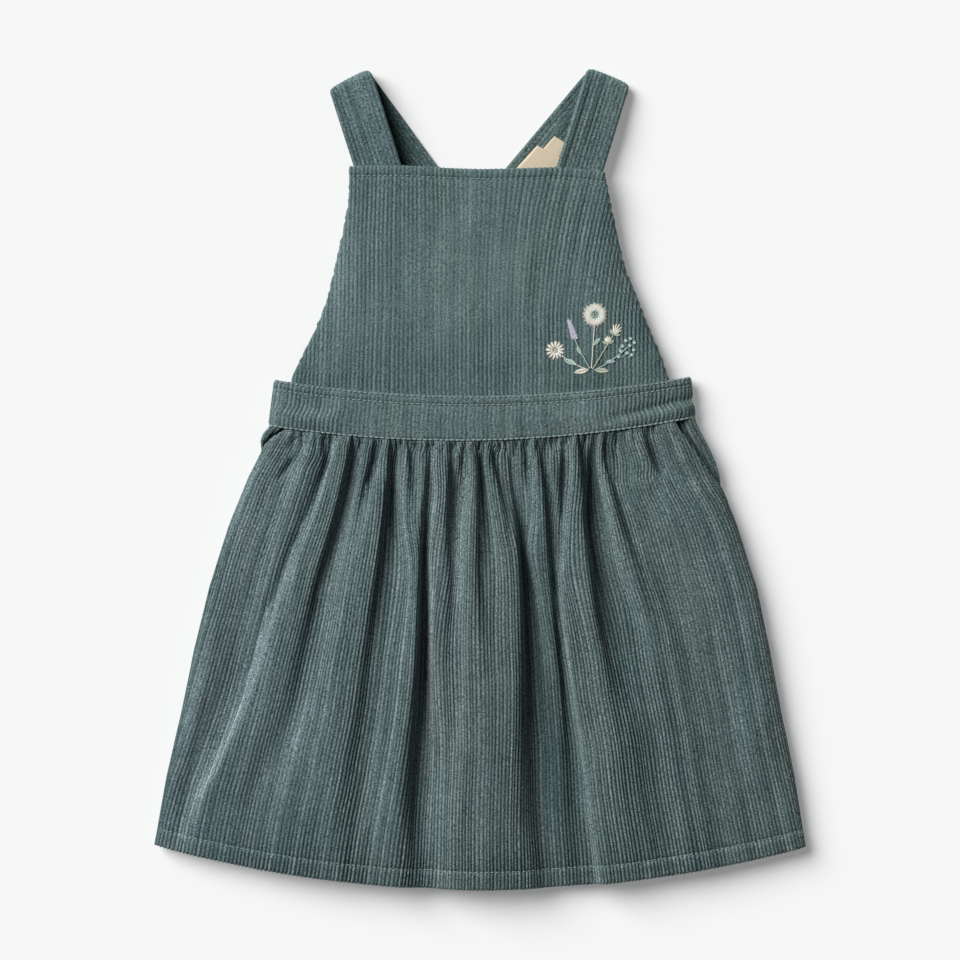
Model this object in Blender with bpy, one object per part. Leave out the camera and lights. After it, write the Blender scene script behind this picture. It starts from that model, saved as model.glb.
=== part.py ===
"""A child's corduroy pinafore dress, laid flat on its back with the front up.

Frame: metres, +Z up from the surface it lies on, +Y towards the shoulder
straps, origin under the middle of the garment.  Every cloth piece is a wall
made from an outer surface and the same surface moved inwards by the cloth's
thickness.  Sizes below are in millimetres.
"""

import math

import bpy
import numpy as np

for old in list(bpy.data.objects):
    bpy.data.objects.remove(old, do_unlink=True)

MM = 0.001

# ------------------------------------------------------------ driving sizes
CLOTH = 1.6        # one layer of corduroy
BAND = 2.2         # waistband, two layers
STRAP = 2.4        # strap, a pressed tube of two layers
POCKET = 1.2       # pocket side piece
LABEL = 1.0        # woven label
GAP = 0.3          # clearance at seams
SEAM_Z = 7.0       # height of the side seams above the surface
STRAP_WIDTH = 29.4
FOLD_RADIUS = 3.7  # middle line of the strap where it turns over
BAND_TOP_Z = 15.8  # waistband crown
X_MID, Y_MID = 0.35, 0.0   # middle of the garment's outline, moved to the origin


def table(columns, rows):
    """Rows with named columns, read as one array for each column."""
    return {name: np.array([row[i] for row in rows], float) for i, name in enumerate(columns)}


# The skirt's rows, from the waist seam (v = 0) to the hem (v = 1).  Side seams
# left and right, how far the row hangs lower in the middle, crown height.
SKIRT = table(
    ("v", "x_left", "y_left", "x_right", "y_right", "sag", "crown", "side_roll"),
    (
        (0.000, -135.4, 33.1, 138.3, 38.5, 11.2, 15.4, 12.0),
        (0.060, -139.2, 18.0, 144.4, 22.0, 12.0, 17.5, 13.0),
        (0.125, -148.4, 0.0, 151.6, 2.0, 13.0, 20.5, 15.0),
        (0.235, -160.4, -30.0, 164.5, -29.0, 15.0, 23.5, 17.0),
        (0.385, -173.0, -70.0, 177.5, -70.0, 17.5, 25.5, 19.0),
        (0.535, -182.9, -110.0, 185.9, -110.0, 20.0, 26.0, 20.0),
        (0.685, -191.0, -150.0, 193.3, -150.0, 22.5, 25.5, 20.0),
        (0.840, -200.3, -190.0, 201.6, -190.0, 25.0, 24.0, 18.0),
        (1.000, -208.3, -234.6, 209.0, -235.8, 27.2, 21.0, 16.0),
    ),
)

# Front edges of the two in-seam pocket mouths: where the front panel stops
# short of the side seam, and how high its free edge stands there.
MOUTH_LEFT = table(
    ("v", "x", "z"),
    ((0.000, -123.8, 12.5), (0.021, -131.7, 11.4), (0.040, -136.3, 10.6),
     (0.060, -139.2, 9.6), (0.085, -142.7, SEAM_Z + 0.15)),
)
MOUTH_RIGHT = table(
    ("v", "x", "z"),
    ((0.000, 125.0, 12.8), (0.056, 135.0, 12.0), (0.105, 144.8, 10.8),
     (0.125, 148.8, 10.2), (0.150, 154.4, 9.0), (0.185, 159.0, SEAM_Z + 0.15)),
)

# The largest folds of the front skirt, left to right: where each valley lies
# (x) and how deep it is (d) at six heights down the skirt, and the reach of
# its two walls.
FOLD_Y = (18.0, -7.5, -46.0, -110.0, -174.0, -247.0)
FOLDS = (
    # x at each height                                d at each height            left, right wall
    ((-118.0, -135.5, -150.0, -166.0, -179.0, -188.5), (3.0, 3.0, 2.5, 2.0, 1.5, 1.0), 5.0, 6.0),
    ((-95.0, -104.5, -122.0, -147.5, -177.0, -204.5), (5.0, 5.0, 4.0, 3.0, 2.0, 1.0), 6.0, 6.0),
    ((-79.5, -83.0, -94.5, -111.5, -132.0, -153.5), (6.0, 8.0, 8.0, 5.0, 3.0, 2.0), 7.0, 6.0),
    ((-55.5, -55.5, -58.5, -67.0, -75.0, -83.0), (7.0, 9.0, 9.0, 6.5, 4.5, 3.0), 7.0, 6.0),
    ((-31.0, -31.0, -32.5, -32.5, -36.0, -44.0), (6.0, 8.0, 10.0, 12.0, 12.0, 9.0), 8.0, 6.0),
    ((-17.0, -17.0, -17.0, -15.0, -21.0, -28.0), (6.0, 7.0, 5.0, 1.5, 0.8, 0.0), 5.0, 5.0),
    ((-1.0, 1.5, 3.5, 4.0, 5.5, 6.5), (6.0, 8.0, 7.0, 2.0, 0.5, 0.0), 6.0, 6.0),
    ((15.0, 22.0, 30.0, 37.5, 39.5, 41.5), (6.0, 7.0, 11.0, 13.0, 12.0, 8.0), 9.0, 6.0),
    ((38.5, 44.0, 47.5, 56.0, 65.0, 72.0), (5.0, 6.0, 6.0, 6.0, 3.0, 1.0), 6.0, 6.0),
    ((66.0, 71.5, 76.0, 92.5, 109.0, 122.0), (7.0, 9.0, 9.0, 5.0, 3.0, 2.0), 7.0, 6.0),
    ((84.0, 92.0, 105.5, 131.5, 150.5, 160.0), (5.0, 5.0, 3.5, 2.0, 1.5, 1.0), 6.0, 6.0),
    ((108.0, 126.0, 145.0, 160.5, 172.0, 181.0), (5.0, 4.0, 3.0, 2.0, 1.5, 1.0), 6.0, 6.0),
)

# Creases that the back skirt's gathers press up from the surface.
BACK_FOLDS = ((-96.0, 1.2), (-58.0, 1.4), (-14.0, 1.1), (27.0, 1.4), (66.0, 1.2), (101.0, 1.3))

# The bib's rows, top to bottom: the armhole edges, and the height of the
# middle and of the edges.
BIB = table(
    ("y", "x_left", "x_right", "z_mid", "z_edge"),
    (
        (198.6, -83.5, 79.9, 14.4, 14.2),
        (188.0, -83.2, 82.0, 14.4, 14.1),
        (176.0, -84.0, 84.2, 14.2, 12.4),
        (160.0, -87.0, 87.6, 13.9, 10.4),
        (133.4, -93.1, 93.8, 13.7, 9.4),
        (114.2, -97.6, 101.6, 13.7, 9.2),
        (95.0, -105.3, 109.1, 13.8, 9.2),
        (78.0, -114.0, 116.6, 13.9, 9.6),
    ),
)
BIB_TUCK = 9.0     # how far the bib runs on behind the waistband

# Waistband edges: left end, right end, drop in the middle.
BAND_TOP = dict(x_left=-131.7, y_left=63.2, x_right=135.6, y_right=65.2, sag=11.4)
BAND_BOTTOM = dict(x_left=-135.4, y_left=33.5, x_right=138.3, y_right=38.9, sag=11.2)

# Straps: where each leaves the bib, where its top fold is and how that fold
# slants, and where its end is sewn to the back waistband.
STRAPS = dict(
    strap_left=dict(bib=(-61.8, 189.5), fold=(-83.1, 254.6), slant=27.0, end=(67.2, 45.0), over=False),
    strap_right=dict(bib=(61.6, 189.5), fold=(82.9, 256.8), slant=-22.0, end=(-91.5, 47.2), over=True),
)

LABELS = dict(
    label_main=dict(corner=(37.1, 213.8), along=(-0.680, -0.733), length=34.0, width=20.0, lift=0.0),
    label_size=dict(corner=(48.1, 219.9), along=(-0.680, -0.733), length=8.2, width=12.0, lift=0.0),
)

COLOURS = {
    "corduroy": (0.093, 0.138, 0.138, 1.0),
    "label": (0.62, 0.54, 0.40, 1.0),
}


# ----------------------------------------------------------------- helpers
def roll(distance, radius):
    """0 at an edge, 1 past the radius, along a quarter circle."""
    t = np.clip(np.asarray(distance, float) / radius, 0.0, 1.0)
    return np.sqrt(1.0 - (1.0 - t) ** 2)


def column(tab, name, key, at):
    return np.interp(at, tab[key], tab[name])


def normals(grid):
    """Unit normals of a grid of points, rows running down and columns right."""
    down = np.gradient(grid, axis=0)
    right = np.gradient(grid, axis=1)
    n = np.cross(down, right)
    return n / np.linalg.norm(n, axis=2, keepdims=True)


def wall(name, outer, thickness, up=True, edge_flat=True, material="corduroy"):
    """A closed wall: a grid of outer points, rows running towards -Y and
    columns towards +X, and the same grid moved inwards.  up says that the
    outer side faces +Z; edge_flat keeps the side edges at their height."""
    n = normals(outer)
    if not up:
        n = -n
    if edge_flat:
        n[:, 0] = (-1.0, 0.0, 0.0)
        n[:, -1] = (1.0, 0.0, 0.0)
    inner = outer - n * thickness
    rows, cols = outer.shape[:2]
    points = np.concatenate([outer.reshape(-1, 3), inner.reshape(-1, 3)])
    far = rows * cols

    def at(i, j, side=0):
        return side * far + i * cols + j

    faces = []
    for i in range(rows - 1):
        for j in range(cols - 1):
            faces.append((at(i, j), at(i + 1, j), at(i + 1, j + 1), at(i, j + 1)))
            faces.append((at(i, j, 1), at(i, j + 1, 1), at(i + 1, j + 1, 1), at(i + 1, j, 1)))
    for j in range(cols - 1):
        faces.append((at(0, j), at(0, j + 1), at(0, j + 1, 1), at(0, j, 1)))
        faces.append((at(rows - 1, j), at(rows - 1, j, 1), at(rows - 1, j + 1, 1), at(rows - 1, j + 1)))
    for i in range(rows - 1):
        faces.append((at(i, 0), at(i, 0, 1), at(i + 1, 0, 1), at(i + 1, 0)))
        faces.append((at(i, cols - 1), at(i + 1, cols - 1), at(i + 1, cols - 1, 1), at(i, cols - 1, 1)))
    if not up:
        faces = [tuple(reversed(face)) for face in faces]
    points = points - np.array((X_MID, Y_MID, 0.0))
    mesh = bpy.data.meshes.new(name)
    mesh.from_pydata((points * MM).tolist(), [], faces)
    mesh.validate()
    mesh.shade_smooth()
    mesh.set_sharp_from_angle(angle=math.radians(50))
    mesh.materials.append(MATERIALS[material])
    body = bpy.data.objects.new(name, mesh)
    bpy.context.scene.collection.objects.link(body)
    body.parent = DRESS
    return body


def make_material(name, colour):
    mat = bpy.data.materials.new(name)
    mat.use_nodes = True
    shader = mat.node_tree.nodes["Principled BSDF"]
    shader.inputs["Base Color"].default_value = colour
    shader.inputs["Roughness"].default_value = 0.92
    shader.inputs["Metallic"].default_value = 0.0
    mat.diffuse_color = colour
    return mat


MATERIALS = {name: make_material(name, colour) for name, colour in COLOURS.items()}
DRESS = bpy.data.objects.new("pinafore", None)
bpy.context.scene.collection.objects.link(DRESS)


# ------------------------------------------------------------------- skirt
def seam_x(v):
    return column(SKIRT, "x_left", "v", v), column(SKIRT, "x_right", "v", v)


def row_y(x, v):
    """Height on the page of the skirt's row v at x."""
    left, right = seam_x(v)
    t = (x - left) / (right - left)
    y_left, y_right = column(SKIRT, "y_left", "v", v), column(SKIRT, "y_right", "v", v)
    return y_left + (y_right - y_left) * t - column(SKIRT, "sag", "v", v) * 4.0 * t * (1.0 - t)


def front_ends(v):
    """Left and right edge of the front panel at row v, with their heights."""
    left, right = seam_x(v)
    z_left = z_right = SEAM_Z + 0.15
    if v < MOUTH_LEFT["v"][-1]:
        left, z_left = column(MOUTH_LEFT, "x", "v", v), column(MOUTH_LEFT, "z", "v", v)
    if v < MOUTH_RIGHT["v"][-1]:
        right, z_right = column(MOUTH_RIGHT, "x", "v", v), column(MOUTH_RIGHT, "z", "v", v)
    return left, right, z_left, z_right


def fold_x(fold, v):
    """Where a fold's valley crosses row v."""
    x = float(np.interp(-18.0, [-y for y in FOLD_Y], fold[0]))
    for _ in range(6):
        x = float(np.interp(-row_y(x, v), [-y for y in FOLD_Y], fold[0]))
    return x


def valley(x, at, left, right):
    t = (x - at) / np.where(x < at, left, right)
    return np.exp(-np.abs(t) ** 1.6)


def front_z(x, v):
    """Outer height of the front skirt, folds included."""
    left, right, z_left, z_right = front_ends(v)
    radius = column(SKIRT, "side_roll", "v", v)
    s = (2.0 * x - left - right) / (right - left)
    crown = column(SKIRT, "crown", "v", v) * (1.0 - 0.14 * s * s)
    rise = np.minimum(roll(x - left, radius), roll(right - x, radius))
    z_edge = np.where(s < 0, z_left, z_right)
    pinch = np.interp(v, (0.0, 0.07), (0.35, 1.0))   # the seam flattens the folds
    drop = 0.0
    for fold in FOLDS:
        at = fold_x(fold, v)
        depth = np.interp(-row_y(at, v), [-y for y in FOLD_Y], fold[1])
        drop = drop + depth * valley(x, at, fold[2], fold[3])
    inside = np.clip(np.minimum(x - left, right - x) / 14.0, 0.0, 1.0)
    return z_edge + (crown - z_edge) * rise - drop * pinch * inside


def front_columns(v):
    """Columns that follow the folds: each valley, and three lines between."""
    left, right, _, _ = front_ends(v)
    stops = [fold_x(fold, v) for fold in FOLDS]
    xs = [left + (stops[0] - left) * f for f in (0.0, 0.05, 0.18, 0.42, 0.70)]
    for a, b in zip(stops, stops[1:]):
        xs += [a + (b - a) * f for f in (0.0, 0.25, 0.5, 0.75)]
    xs += [stops[-1] + (right - stops[-1]) * f for f in (0.0, 0.30, 0.58, 0.82, 0.95, 1.0)]
    return np.array(xs)


SKIRT_ROWS = (0.0, 0.03, 0.06, 0.10, 0.15, 0.20, 0.26, 0.33, 0.41, 0.50, 0.60, 0.70, 0.80, 0.90, 1.0)


def skirt_front():
    grid = []
    for v in SKIRT_ROWS:
        x = front_columns(v)
        grid.append(np.stack([x, row_y(x, v), front_z(x, v)], axis=1))
    return wall("skirt_front", np.array(grid), CLOTH)


def skirt_back():
    """Flat on the surface, turned up at both sides to the side seams."""
    grid = []
    for v in SKIRT_ROWS[::1]:
        left, right = seam_x(v)
        reach = 9.0
        edge = np.array((0.0, 0.5, 1.8, 4.2, reach))
        x = np.concatenate([left + edge, np.linspace(left + 24.0, right - 24.0, 15), (right - edge)[::-1]])
        rise = np.minimum(roll(x - left, reach), roll(right - x, reach))
        z = (SEAM_Z - 0.15) * (1.0 - rise)
        lift = np.interp(v, (0.0, 0.06, 0.30), (0.5, 1.0, 0.0))
        for at, height in BACK_FOLDS:
            z = z + lift * height * valley(x, at * (right - left) / 273.7, 9.0, 9.0)
        z[(z < 1e-3)] = 0.0
        grid.append(np.stack([x, row_y(x, v), z], axis=1))
    return wall("skirt_back", np.array(grid), CLOTH, up=False)


def pocket(name, side, v_mouth, v_end, deep):
    """The piece behind a pocket mouth: it carries the side's outline up to the
    waistband and runs in under the front panel."""
    grid = []
    for v in np.linspace(0.0, v_end, 6):
        left, right = seam_x(v)
        inset = np.interp(v, (0.0, v_mouth * 0.5, v_mouth, v_end), (0.0, 0.0, 2.6, 3.4))
        d = np.array((0.0, 1.3, 4.0, 9.0, 17.0, deep))
        z = SEAM_Z + 0.15 + 2.0 * roll(d, 9.0)
        x = left + inset + d if side < 0 else right - inset - d
        if side > 0:
            x, z = x[::-1], z[::-1]
        grid.append(np.stack([x, row_y(x, v), z], axis=1))
    return wall(name, np.array(grid), POCKET)


# --------------------------------------------------------------- waistband
def band_y(edge, x):
    t = (x - edge["x_left"]) / (edge["x_right"] - edge["x_left"])
    return edge["y_left"] + (edge["y_right"] - edge["y_left"]) * t - edge["sag"] * 4.0 * t * (1.0 - t)


def band_z(x, left, right):
    s = (2.0 * x - left - right) / (right - left)
    rise = np.minimum(roll(x - left, 12.0), roll(right - x, 12.0))
    low = SEAM_Z + 0.15
    return low + (BAND_TOP_Z * (1.0 - 0.12 * s * s) - low) * rise


def band_grid(height_of):
    grid = []
    edge = np.array((0.0, 0.7, 2.4, 5.5, 12.0))
    for f in (0.0, 0.33, 0.67, 1.0):
        left = BAND_TOP["x_left"] + (BAND_BOTTOM["x_left"] - BAND_TOP["x_left"]) * f
        right = BAND_TOP["x_right"] + (BAND_BOTTOM["x_right"] - BAND_TOP["x_right"]) * f
        x = np.concatenate([left + edge, np.linspace(left + 26.0, right - 26.0, 13), (right - edge)[::-1]])
        y = band_y(BAND_TOP, x) * (1.0 - f) + band_y(BAND_BOTTOM, x) * f
        grid.append(np.stack([x, y, height_of(x, left, right)], axis=1))
    return np.array(grid)


def waistband_front():
    return wall("waistband_front", band_grid(band_z), BAND)


def back_band_z(x, left, right):
    rise = np.minimum(roll(x - left, 12.0), roll(right - x, 12.0))
    return (SEAM_Z - 0.15) * (1.0 - rise)


def waistband_back():
    return wall("waistband_back", band_grid(back_band_z), BAND, up=False)


# --------------------------------------------------------------------- bib
def bib_front():
    grid = []
    ys = [198.6, 193.0, 187.0, 176.0, 160.0, 140.0, 118.0, 97.0, 78.0]
    key = -BIB["y"]
    shape = np.array((-1.0, -0.985, -0.94, -0.85, -0.7, -0.5, -0.25, 0.0, 0.25, 0.5, 0.7, 0.85, 0.94, 0.985, 1.0))
    for y in ys:
        left, right = np.interp(-y, key, BIB["x_left"]), np.interp(-y, key, BIB["x_right"])
        mid, low = np.interp(-y, key, BIB["z_mid"]), np.interp(-y, key, BIB["z_edge"])
        x = 0.5 * (left + right) + 0.5 * (right - left) * shape
        z = low + (mid - low) * roll(1.0 - np.abs(shape), 0.30)
        grid.append(np.stack([x, y + bib_top_wave(x) * np.interp(y, (120.0, 198.6), (0.0, 1.0)), z], axis=1))
    # the last rows pass behind the waistband
    left, right = -121.0, 121.0
    for inset in (-3.0, 2.0, BIB_TUCK):
        x = 0.5 * (left + right) + 0.5 * (right - left) * shape
        band_left, band_right = BAND_TOP["x_left"], BAND_TOP["x_right"]
        z = band_z(x, band_left, band_right) - BAND - 0.5
        grid.append(np.stack([x, band_y(BAND_TOP, x) - inset, z], axis=1))
    return wall("bib_front", np.array(grid), CLOTH, edge_flat=False)


def bib_top_wave(x):
    """The top edge dips in the middle and at its right corner."""
    return 1.6 * np.cos(x / 83.0 * math.pi) * -0.5 + np.interp(x, (-83.0, -50.0, 0.0, 50.0, 80.0), (0.2, 1.2, 0.0, 0.2, -3.6))


# ------------------------------------------------------------------ straps
def back_run_z(spec, f):
    """Height of a strap's middle line along its back run, from fold to end."""
    z = np.full_like(np.asarray(f, float), STRAP / 2)
    if spec["over"]:     # this strap lies on the other one where they cross
        z = z + np.interp(f, (0.26, 0.42, 0.72, 0.86), (0.0, STRAP + 0.5, STRAP + 0.5, 0.0))
    on_band = BAND + GAP + STRAP / 2 + 0.1
    return np.maximum(z, np.interp(f, (0.82, 0.90, 1.0), (STRAP / 2, on_band, on_band)))


def strap_line(spec):
    """Middle line of a strap as (x, y, z) with the slant of its cross lines."""
    slant = math.radians(spec["slant"])
    fold = np.array(spec["fold"])
    bib = np.array(spec["bib"])
    end = np.array(spec["end"])
    away = np.array((-math.sin(slant), math.cos(slant)))     # out past the fold
    if away[1] < 0:
        away = -away
    turn = fold - away * (FOLD_RADIUS + STRAP / 2)
    mid_low = STRAP / 2
    mid_high = mid_low + 2 * FOLD_RADIUS
    back_slant = math.atan2(end[0] - turn[0], -(end[1] - turn[1]))
    stations = []
    for f in (0.0, 0.08, 0.16, 0.3, 0.5, 0.7, 0.85, 1.0):
        at = bib + (turn - bib) * f
        z = np.interp(f, (0.0, 0.16, 0.6, 1.0), (10.95, 11.0, 10.6, mid_high))
        stations.append((at[0], at[1], z, slant * f))
    for a in (30.0, 60.0, 90.0, 120.0, 150.0, 180.0):
        r = math.radians(a)
        at = turn + away * FOLD_RADIUS * math.sin(r)
        stations.append((at[0], at[1], mid_low + FOLD_RADIUS + FOLD_RADIUS * math.cos(r), slant))
    for f in (0.07, 0.16, 0.26, 0.34, 0.42, 0.52, 0.62, 0.72, 0.82, 0.90, 0.95, 1.0):
        at = turn + (end - turn) * f
        stations.append((at[0], at[1], float(back_run_z(spec, f)), slant + (back_slant - slant) * min(1.0, f * 2.0)))
    return np.array(stations), turn, end


def strap(name):
    spec = STRAPS[name]
    line, _, _ = strap_line(spec)
    points = line[:, :3]
    along = np.gradient(points, axis=0)
    along /= np.linalg.norm(along, axis=1, keepdims=True)
    grid_mid, grid_n = [], []
    for p, d, slant in zip(points, along, line[:, 3]):
        across = np.array((math.cos(slant), math.sin(slant), 0.0))
        flat = np.array((d[0], d[1], 0.0))
        size = np.linalg.norm(flat)
        # keep the cloth's true width where the cross line is slanted to it
        lean = 1.0 if size < 0.3 else abs(across[0] * d[1] - across[1] * d[0]) / size
        half = STRAP_WIDTH / 2 / max(lean, 0.8)
        normal = np.cross(across, d)
        normal /= np.linalg.norm(normal)
        grid_mid.append([p + across * half * t for t in (-1.0, -0.5, 0.0, 0.5, 1.0)])
        grid_n.append([normal] * 5)
    mid, n = np.array(grid_mid), np.array(grid_n)
    if n[0, 0, 2] < 0:
        n = -n
    outer = mid + n * STRAP / 2
    inner = mid - n * STRAP / 2
    return closed_strip(name, outer, inner)


def closed_strip(name, outer, inner, material="corduroy"):
    """A closed body between two grids, stations down and points across."""
    rows, cols = outer.shape[:2]
    points = np.concatenate([outer.reshape(-1, 3), inner.reshape(-1, 3)])
    far = rows * cols

    def at(i, j, side=0):
        return side * far + i * cols + j

    faces = []
    for i in range(rows - 1):
        for j in range(cols - 1):
            faces.append((at(i, j), at(i, j + 1), at(i + 1, j + 1), at(i + 1, j)))
            faces.append((at(i, j, 1), at(i + 1, j, 1), at(i + 1, j + 1, 1), at(i, j + 1, 1)))
    for j in range(cols - 1):
        faces.append((at(0, j), at(0, j, 1), at(0, j + 1, 1), at(0, j + 1)))
        faces.append((at(rows - 1, j), at(rows - 1, j + 1), at(rows - 1, j + 1, 1), at(rows - 1, j, 1)))
    for i in range(rows - 1):
        faces.append((at(i, 0), at(i + 1, 0), at(i + 1, 0, 1), at(i, 0, 1)))
        faces.append((at(i, cols - 1), at(i, cols - 1, 1), at(i + 1, cols - 1, 1), at(i + 1, cols - 1)))
    points = points - np.array((X_MID, Y_MID, 0.0))
    mesh = bpy.data.meshes.new(name)
    mesh.from_pydata((points * MM).tolist(), [], faces)
    mesh.validate()
    mesh.shade_smooth()
    mesh.set_sharp_from_angle(angle=math.radians(50))
    mesh.materials.append(MATERIALS[material])
    body = bpy.data.objects.new(name, mesh)
    bpy.context.scene.collection.objects.link(body)
    body.parent = DRESS
    return body


def label(name):
    """A woven label lying on the inside of the right strap's back run."""
    spec = LABELS[name]
    along = np.array(spec["along"])
    across = np.array((-along[1], along[0]))       # towards the strap's other edge
    corner = np.array(spec["corner"])
    _, turn, end = strap_line(STRAPS["strap_right"])
    run = end - turn
    outer, inner = [], []
    for f in np.linspace(0.0, 1.0, 7):
        row = [corner + along * spec["length"] * f + across * spec["width"] * g for g in (1.0, 0.5, 0.0)]
        low = [float(back_run_z(STRAPS["strap_right"], (p - turn) @ run / (run @ run))) + STRAP / 2 + GAP + 0.1 for p in row]
        outer.append([(p[0], p[1], z + LABEL) for p, z in zip(row, low)])
        inner.append([(p[0], p[1], z) for p, z in zip(row, low)])
    return closed_strip(name, np.array(outer), np.array(inner), material="label")


# ------------------------------------------------------------------- build
skirt_front()
skirt_back()
pocket("pocket_left", -1, 0.0615, 0.11, 26.0)
pocket("pocket_right", 1, 0.150, 0.20, 30.0)
waistband_front()
waistband_back()
bib_front()
strap("strap_left")
strap("strap_right")
label("label_main")
label("label_size")
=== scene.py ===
"""Looks of a child's corduroy pinafore dress laid flat on its back.

Sizes are millimetres in the garment's own numbers; place() turns them into
metres in the row frame.  Each cloth piece is a thin closed shell: a fine outer
face that carries the wales as real ribs, a coarse inner face, and a rim.
"""

import math

import bpy
import numpy as np
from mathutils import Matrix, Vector


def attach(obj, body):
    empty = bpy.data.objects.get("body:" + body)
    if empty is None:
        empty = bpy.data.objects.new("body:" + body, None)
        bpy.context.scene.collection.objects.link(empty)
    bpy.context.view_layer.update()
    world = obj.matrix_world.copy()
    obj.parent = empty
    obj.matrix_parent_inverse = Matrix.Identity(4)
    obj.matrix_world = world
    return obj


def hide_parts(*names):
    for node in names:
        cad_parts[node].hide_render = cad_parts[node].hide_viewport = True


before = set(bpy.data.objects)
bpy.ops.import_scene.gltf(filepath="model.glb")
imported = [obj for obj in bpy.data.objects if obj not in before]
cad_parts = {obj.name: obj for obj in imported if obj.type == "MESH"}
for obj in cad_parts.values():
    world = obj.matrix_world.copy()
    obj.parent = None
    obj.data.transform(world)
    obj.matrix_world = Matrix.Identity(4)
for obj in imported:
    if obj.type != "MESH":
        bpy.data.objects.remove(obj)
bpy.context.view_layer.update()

MM = 0.001
X_MID, Y_MID = 0.35, 0.0
WALE = 2.63          # one rib and its groove
RIB = 0.46           # half height of a rib
SEAM_Z = 7.0
BAND = 2.2
STRAP = 2.4
STRAP_WIDTH = 29.4
FOLD_RADIUS = 3.7
BAND_TOP_Z = 15.8
RNG = np.random.default_rng(20)


# ------------------------------------------------------------------ helpers
def table(columns, rows):
    return {name: np.array([row[i] for row in rows], float) for i, name in enumerate(columns)}


def column(tab, name, key, at):
    return np.interp(at, tab[key], tab[name])


def roll(distance, radius):
    """0 at an edge, 1 past the radius, along a quarter circle."""
    t = np.clip(np.asarray(distance, float) / radius, 0.0, 1.0)
    return np.sqrt(1.0 - (1.0 - t) ** 2)


def smooth(t):
    t = np.clip(t, 0.0, 1.0)
    return t * t * (3.0 - 2.0 * t)


def bump(x, at, reach, power=2.0):
    return np.exp(-np.abs((np.asarray(x, float) - at) / reach) ** power)


def soft_noise(x, y, seed, size, parts=7):
    """Smooth uneven field of about -1 to 1; size is its usual wavelength."""
    rng = np.random.default_rng(seed)
    out = 0.0
    for _ in range(parts):
        angle = rng.uniform(0.0, math.pi)
        wave = size * rng.uniform(0.6, 1.7)
        phase = rng.uniform(0.0, 2.0 * math.pi)
        out = out + np.sin((x * math.cos(angle) + y * math.sin(angle)) * 2.0 * math.pi / wave + phase)
    return out / math.sqrt(parts * 1.0)


def grid_normals(grid):
    down = np.gradient(grid, axis=0)
    right = np.gradient(grid, axis=1)
    n = np.cross(down, right)
    return n / np.maximum(np.linalg.norm(n, axis=2, keepdims=True), 1e-9)


def spot_sum(x, y, spots):
    """Sum of soft oval spots: x, y, turn of the long axis in degrees, half
    width across, half length along, height."""
    z = 0.0
    for cx, cy, turn, across, along, height in spots:
        a = math.radians(turn)
        dx, dy = x - cx, y - cy
        u = dx * math.cos(a) + dy * math.sin(a)
        w = -dx * math.sin(a) + dy * math.cos(a)
        z = z + height * np.exp(-(u / across) ** 2 - (w / along) ** 2)
    return z


def pile_field(x, y, base, seed, spots, drift=0.17):
    """How far the pile stands up in ribs, about 0 to 1.3."""
    value = base + drift * soft_noise(x, y * 0.28, seed, 34.0, 9) + 0.10 * soft_noise(x, y * 0.15, seed + 1, 9.0, 9)
    return np.clip(value + spot_sum(x, y, spots), 0.08, 1.35)


RIB_PHASE = (0.0, 0.10, 0.30, 0.50, 0.70, 0.90, 1.0)
RIB_HEIGHT = (-1.0, -0.62, 0.62, 1.0, 0.62, -0.62, -1.0)


def rib(phase):
    """Height of the wale's cross section, -1 in the groove and 1 on the rib."""
    return np.interp(np.mod(phase, 1.0), RIB_PHASE, RIB_HEIGHT)


def place(points):
    return (np.asarray(points, float) - np.array((X_MID, Y_MID, 0.0))) * MM


def new_object(name, points, faces, material, uv=None, smooth_shade=True, pile=None):
    """points in garment millimetres; uv and pile one pair for each vertex."""
    mesh = bpy.data.meshes.new(name)
    quads = np.asarray(faces) if not isinstance(faces, list) else None
    if quads is not None and quads.ndim == 2:
        lists = [quads]
    else:
        lists = [np.asarray(part) for part in faces]
    loops = np.concatenate([part.ravel() for part in lists])
    sizes = np.concatenate([np.full(len(part), part.shape[1]) for part in lists])
    starts = np.concatenate([[0], np.cumsum(sizes)[:-1]])
    mesh.vertices.add(len(points))
    mesh.vertices.foreach_set("co", place(points).astype(np.float32).ravel())
    mesh.loops.add(len(loops))
    mesh.loops.foreach_set("vertex_index", loops.astype(np.int32))
    mesh.polygons.add(len(sizes))
    mesh.polygons.foreach_set("loop_start", starts.astype(np.int32))
    mesh.update(calc_edges=True)
    mesh.validate()
    if uv is not None:
        layer = mesh.uv_layers.new(name="wale")
        index = np.zeros(len(mesh.loops), np.int32)
        mesh.loops.foreach_get("vertex_index", index)
        layer.data.foreach_set("uv", np.asarray(uv, np.float32)[index].ravel())
        if pile is None:
            pile = np.tile((0.7, 1.0), (len(points), 1))
        # the second coordinate of each pile pair is a brightness gain that carries painted light and painted shade
        second = mesh.uv_layers.new(name="pile")
        second.data.foreach_set("uv", np.asarray(pile, np.float32)[index].ravel())
    if smooth_shade:
        mesh.shade_smooth()
    mesh.materials.append(material)
    body = bpy.data.objects.new(name, mesh)
    bpy.context.scene.collection.objects.link(body)
    return body


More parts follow.
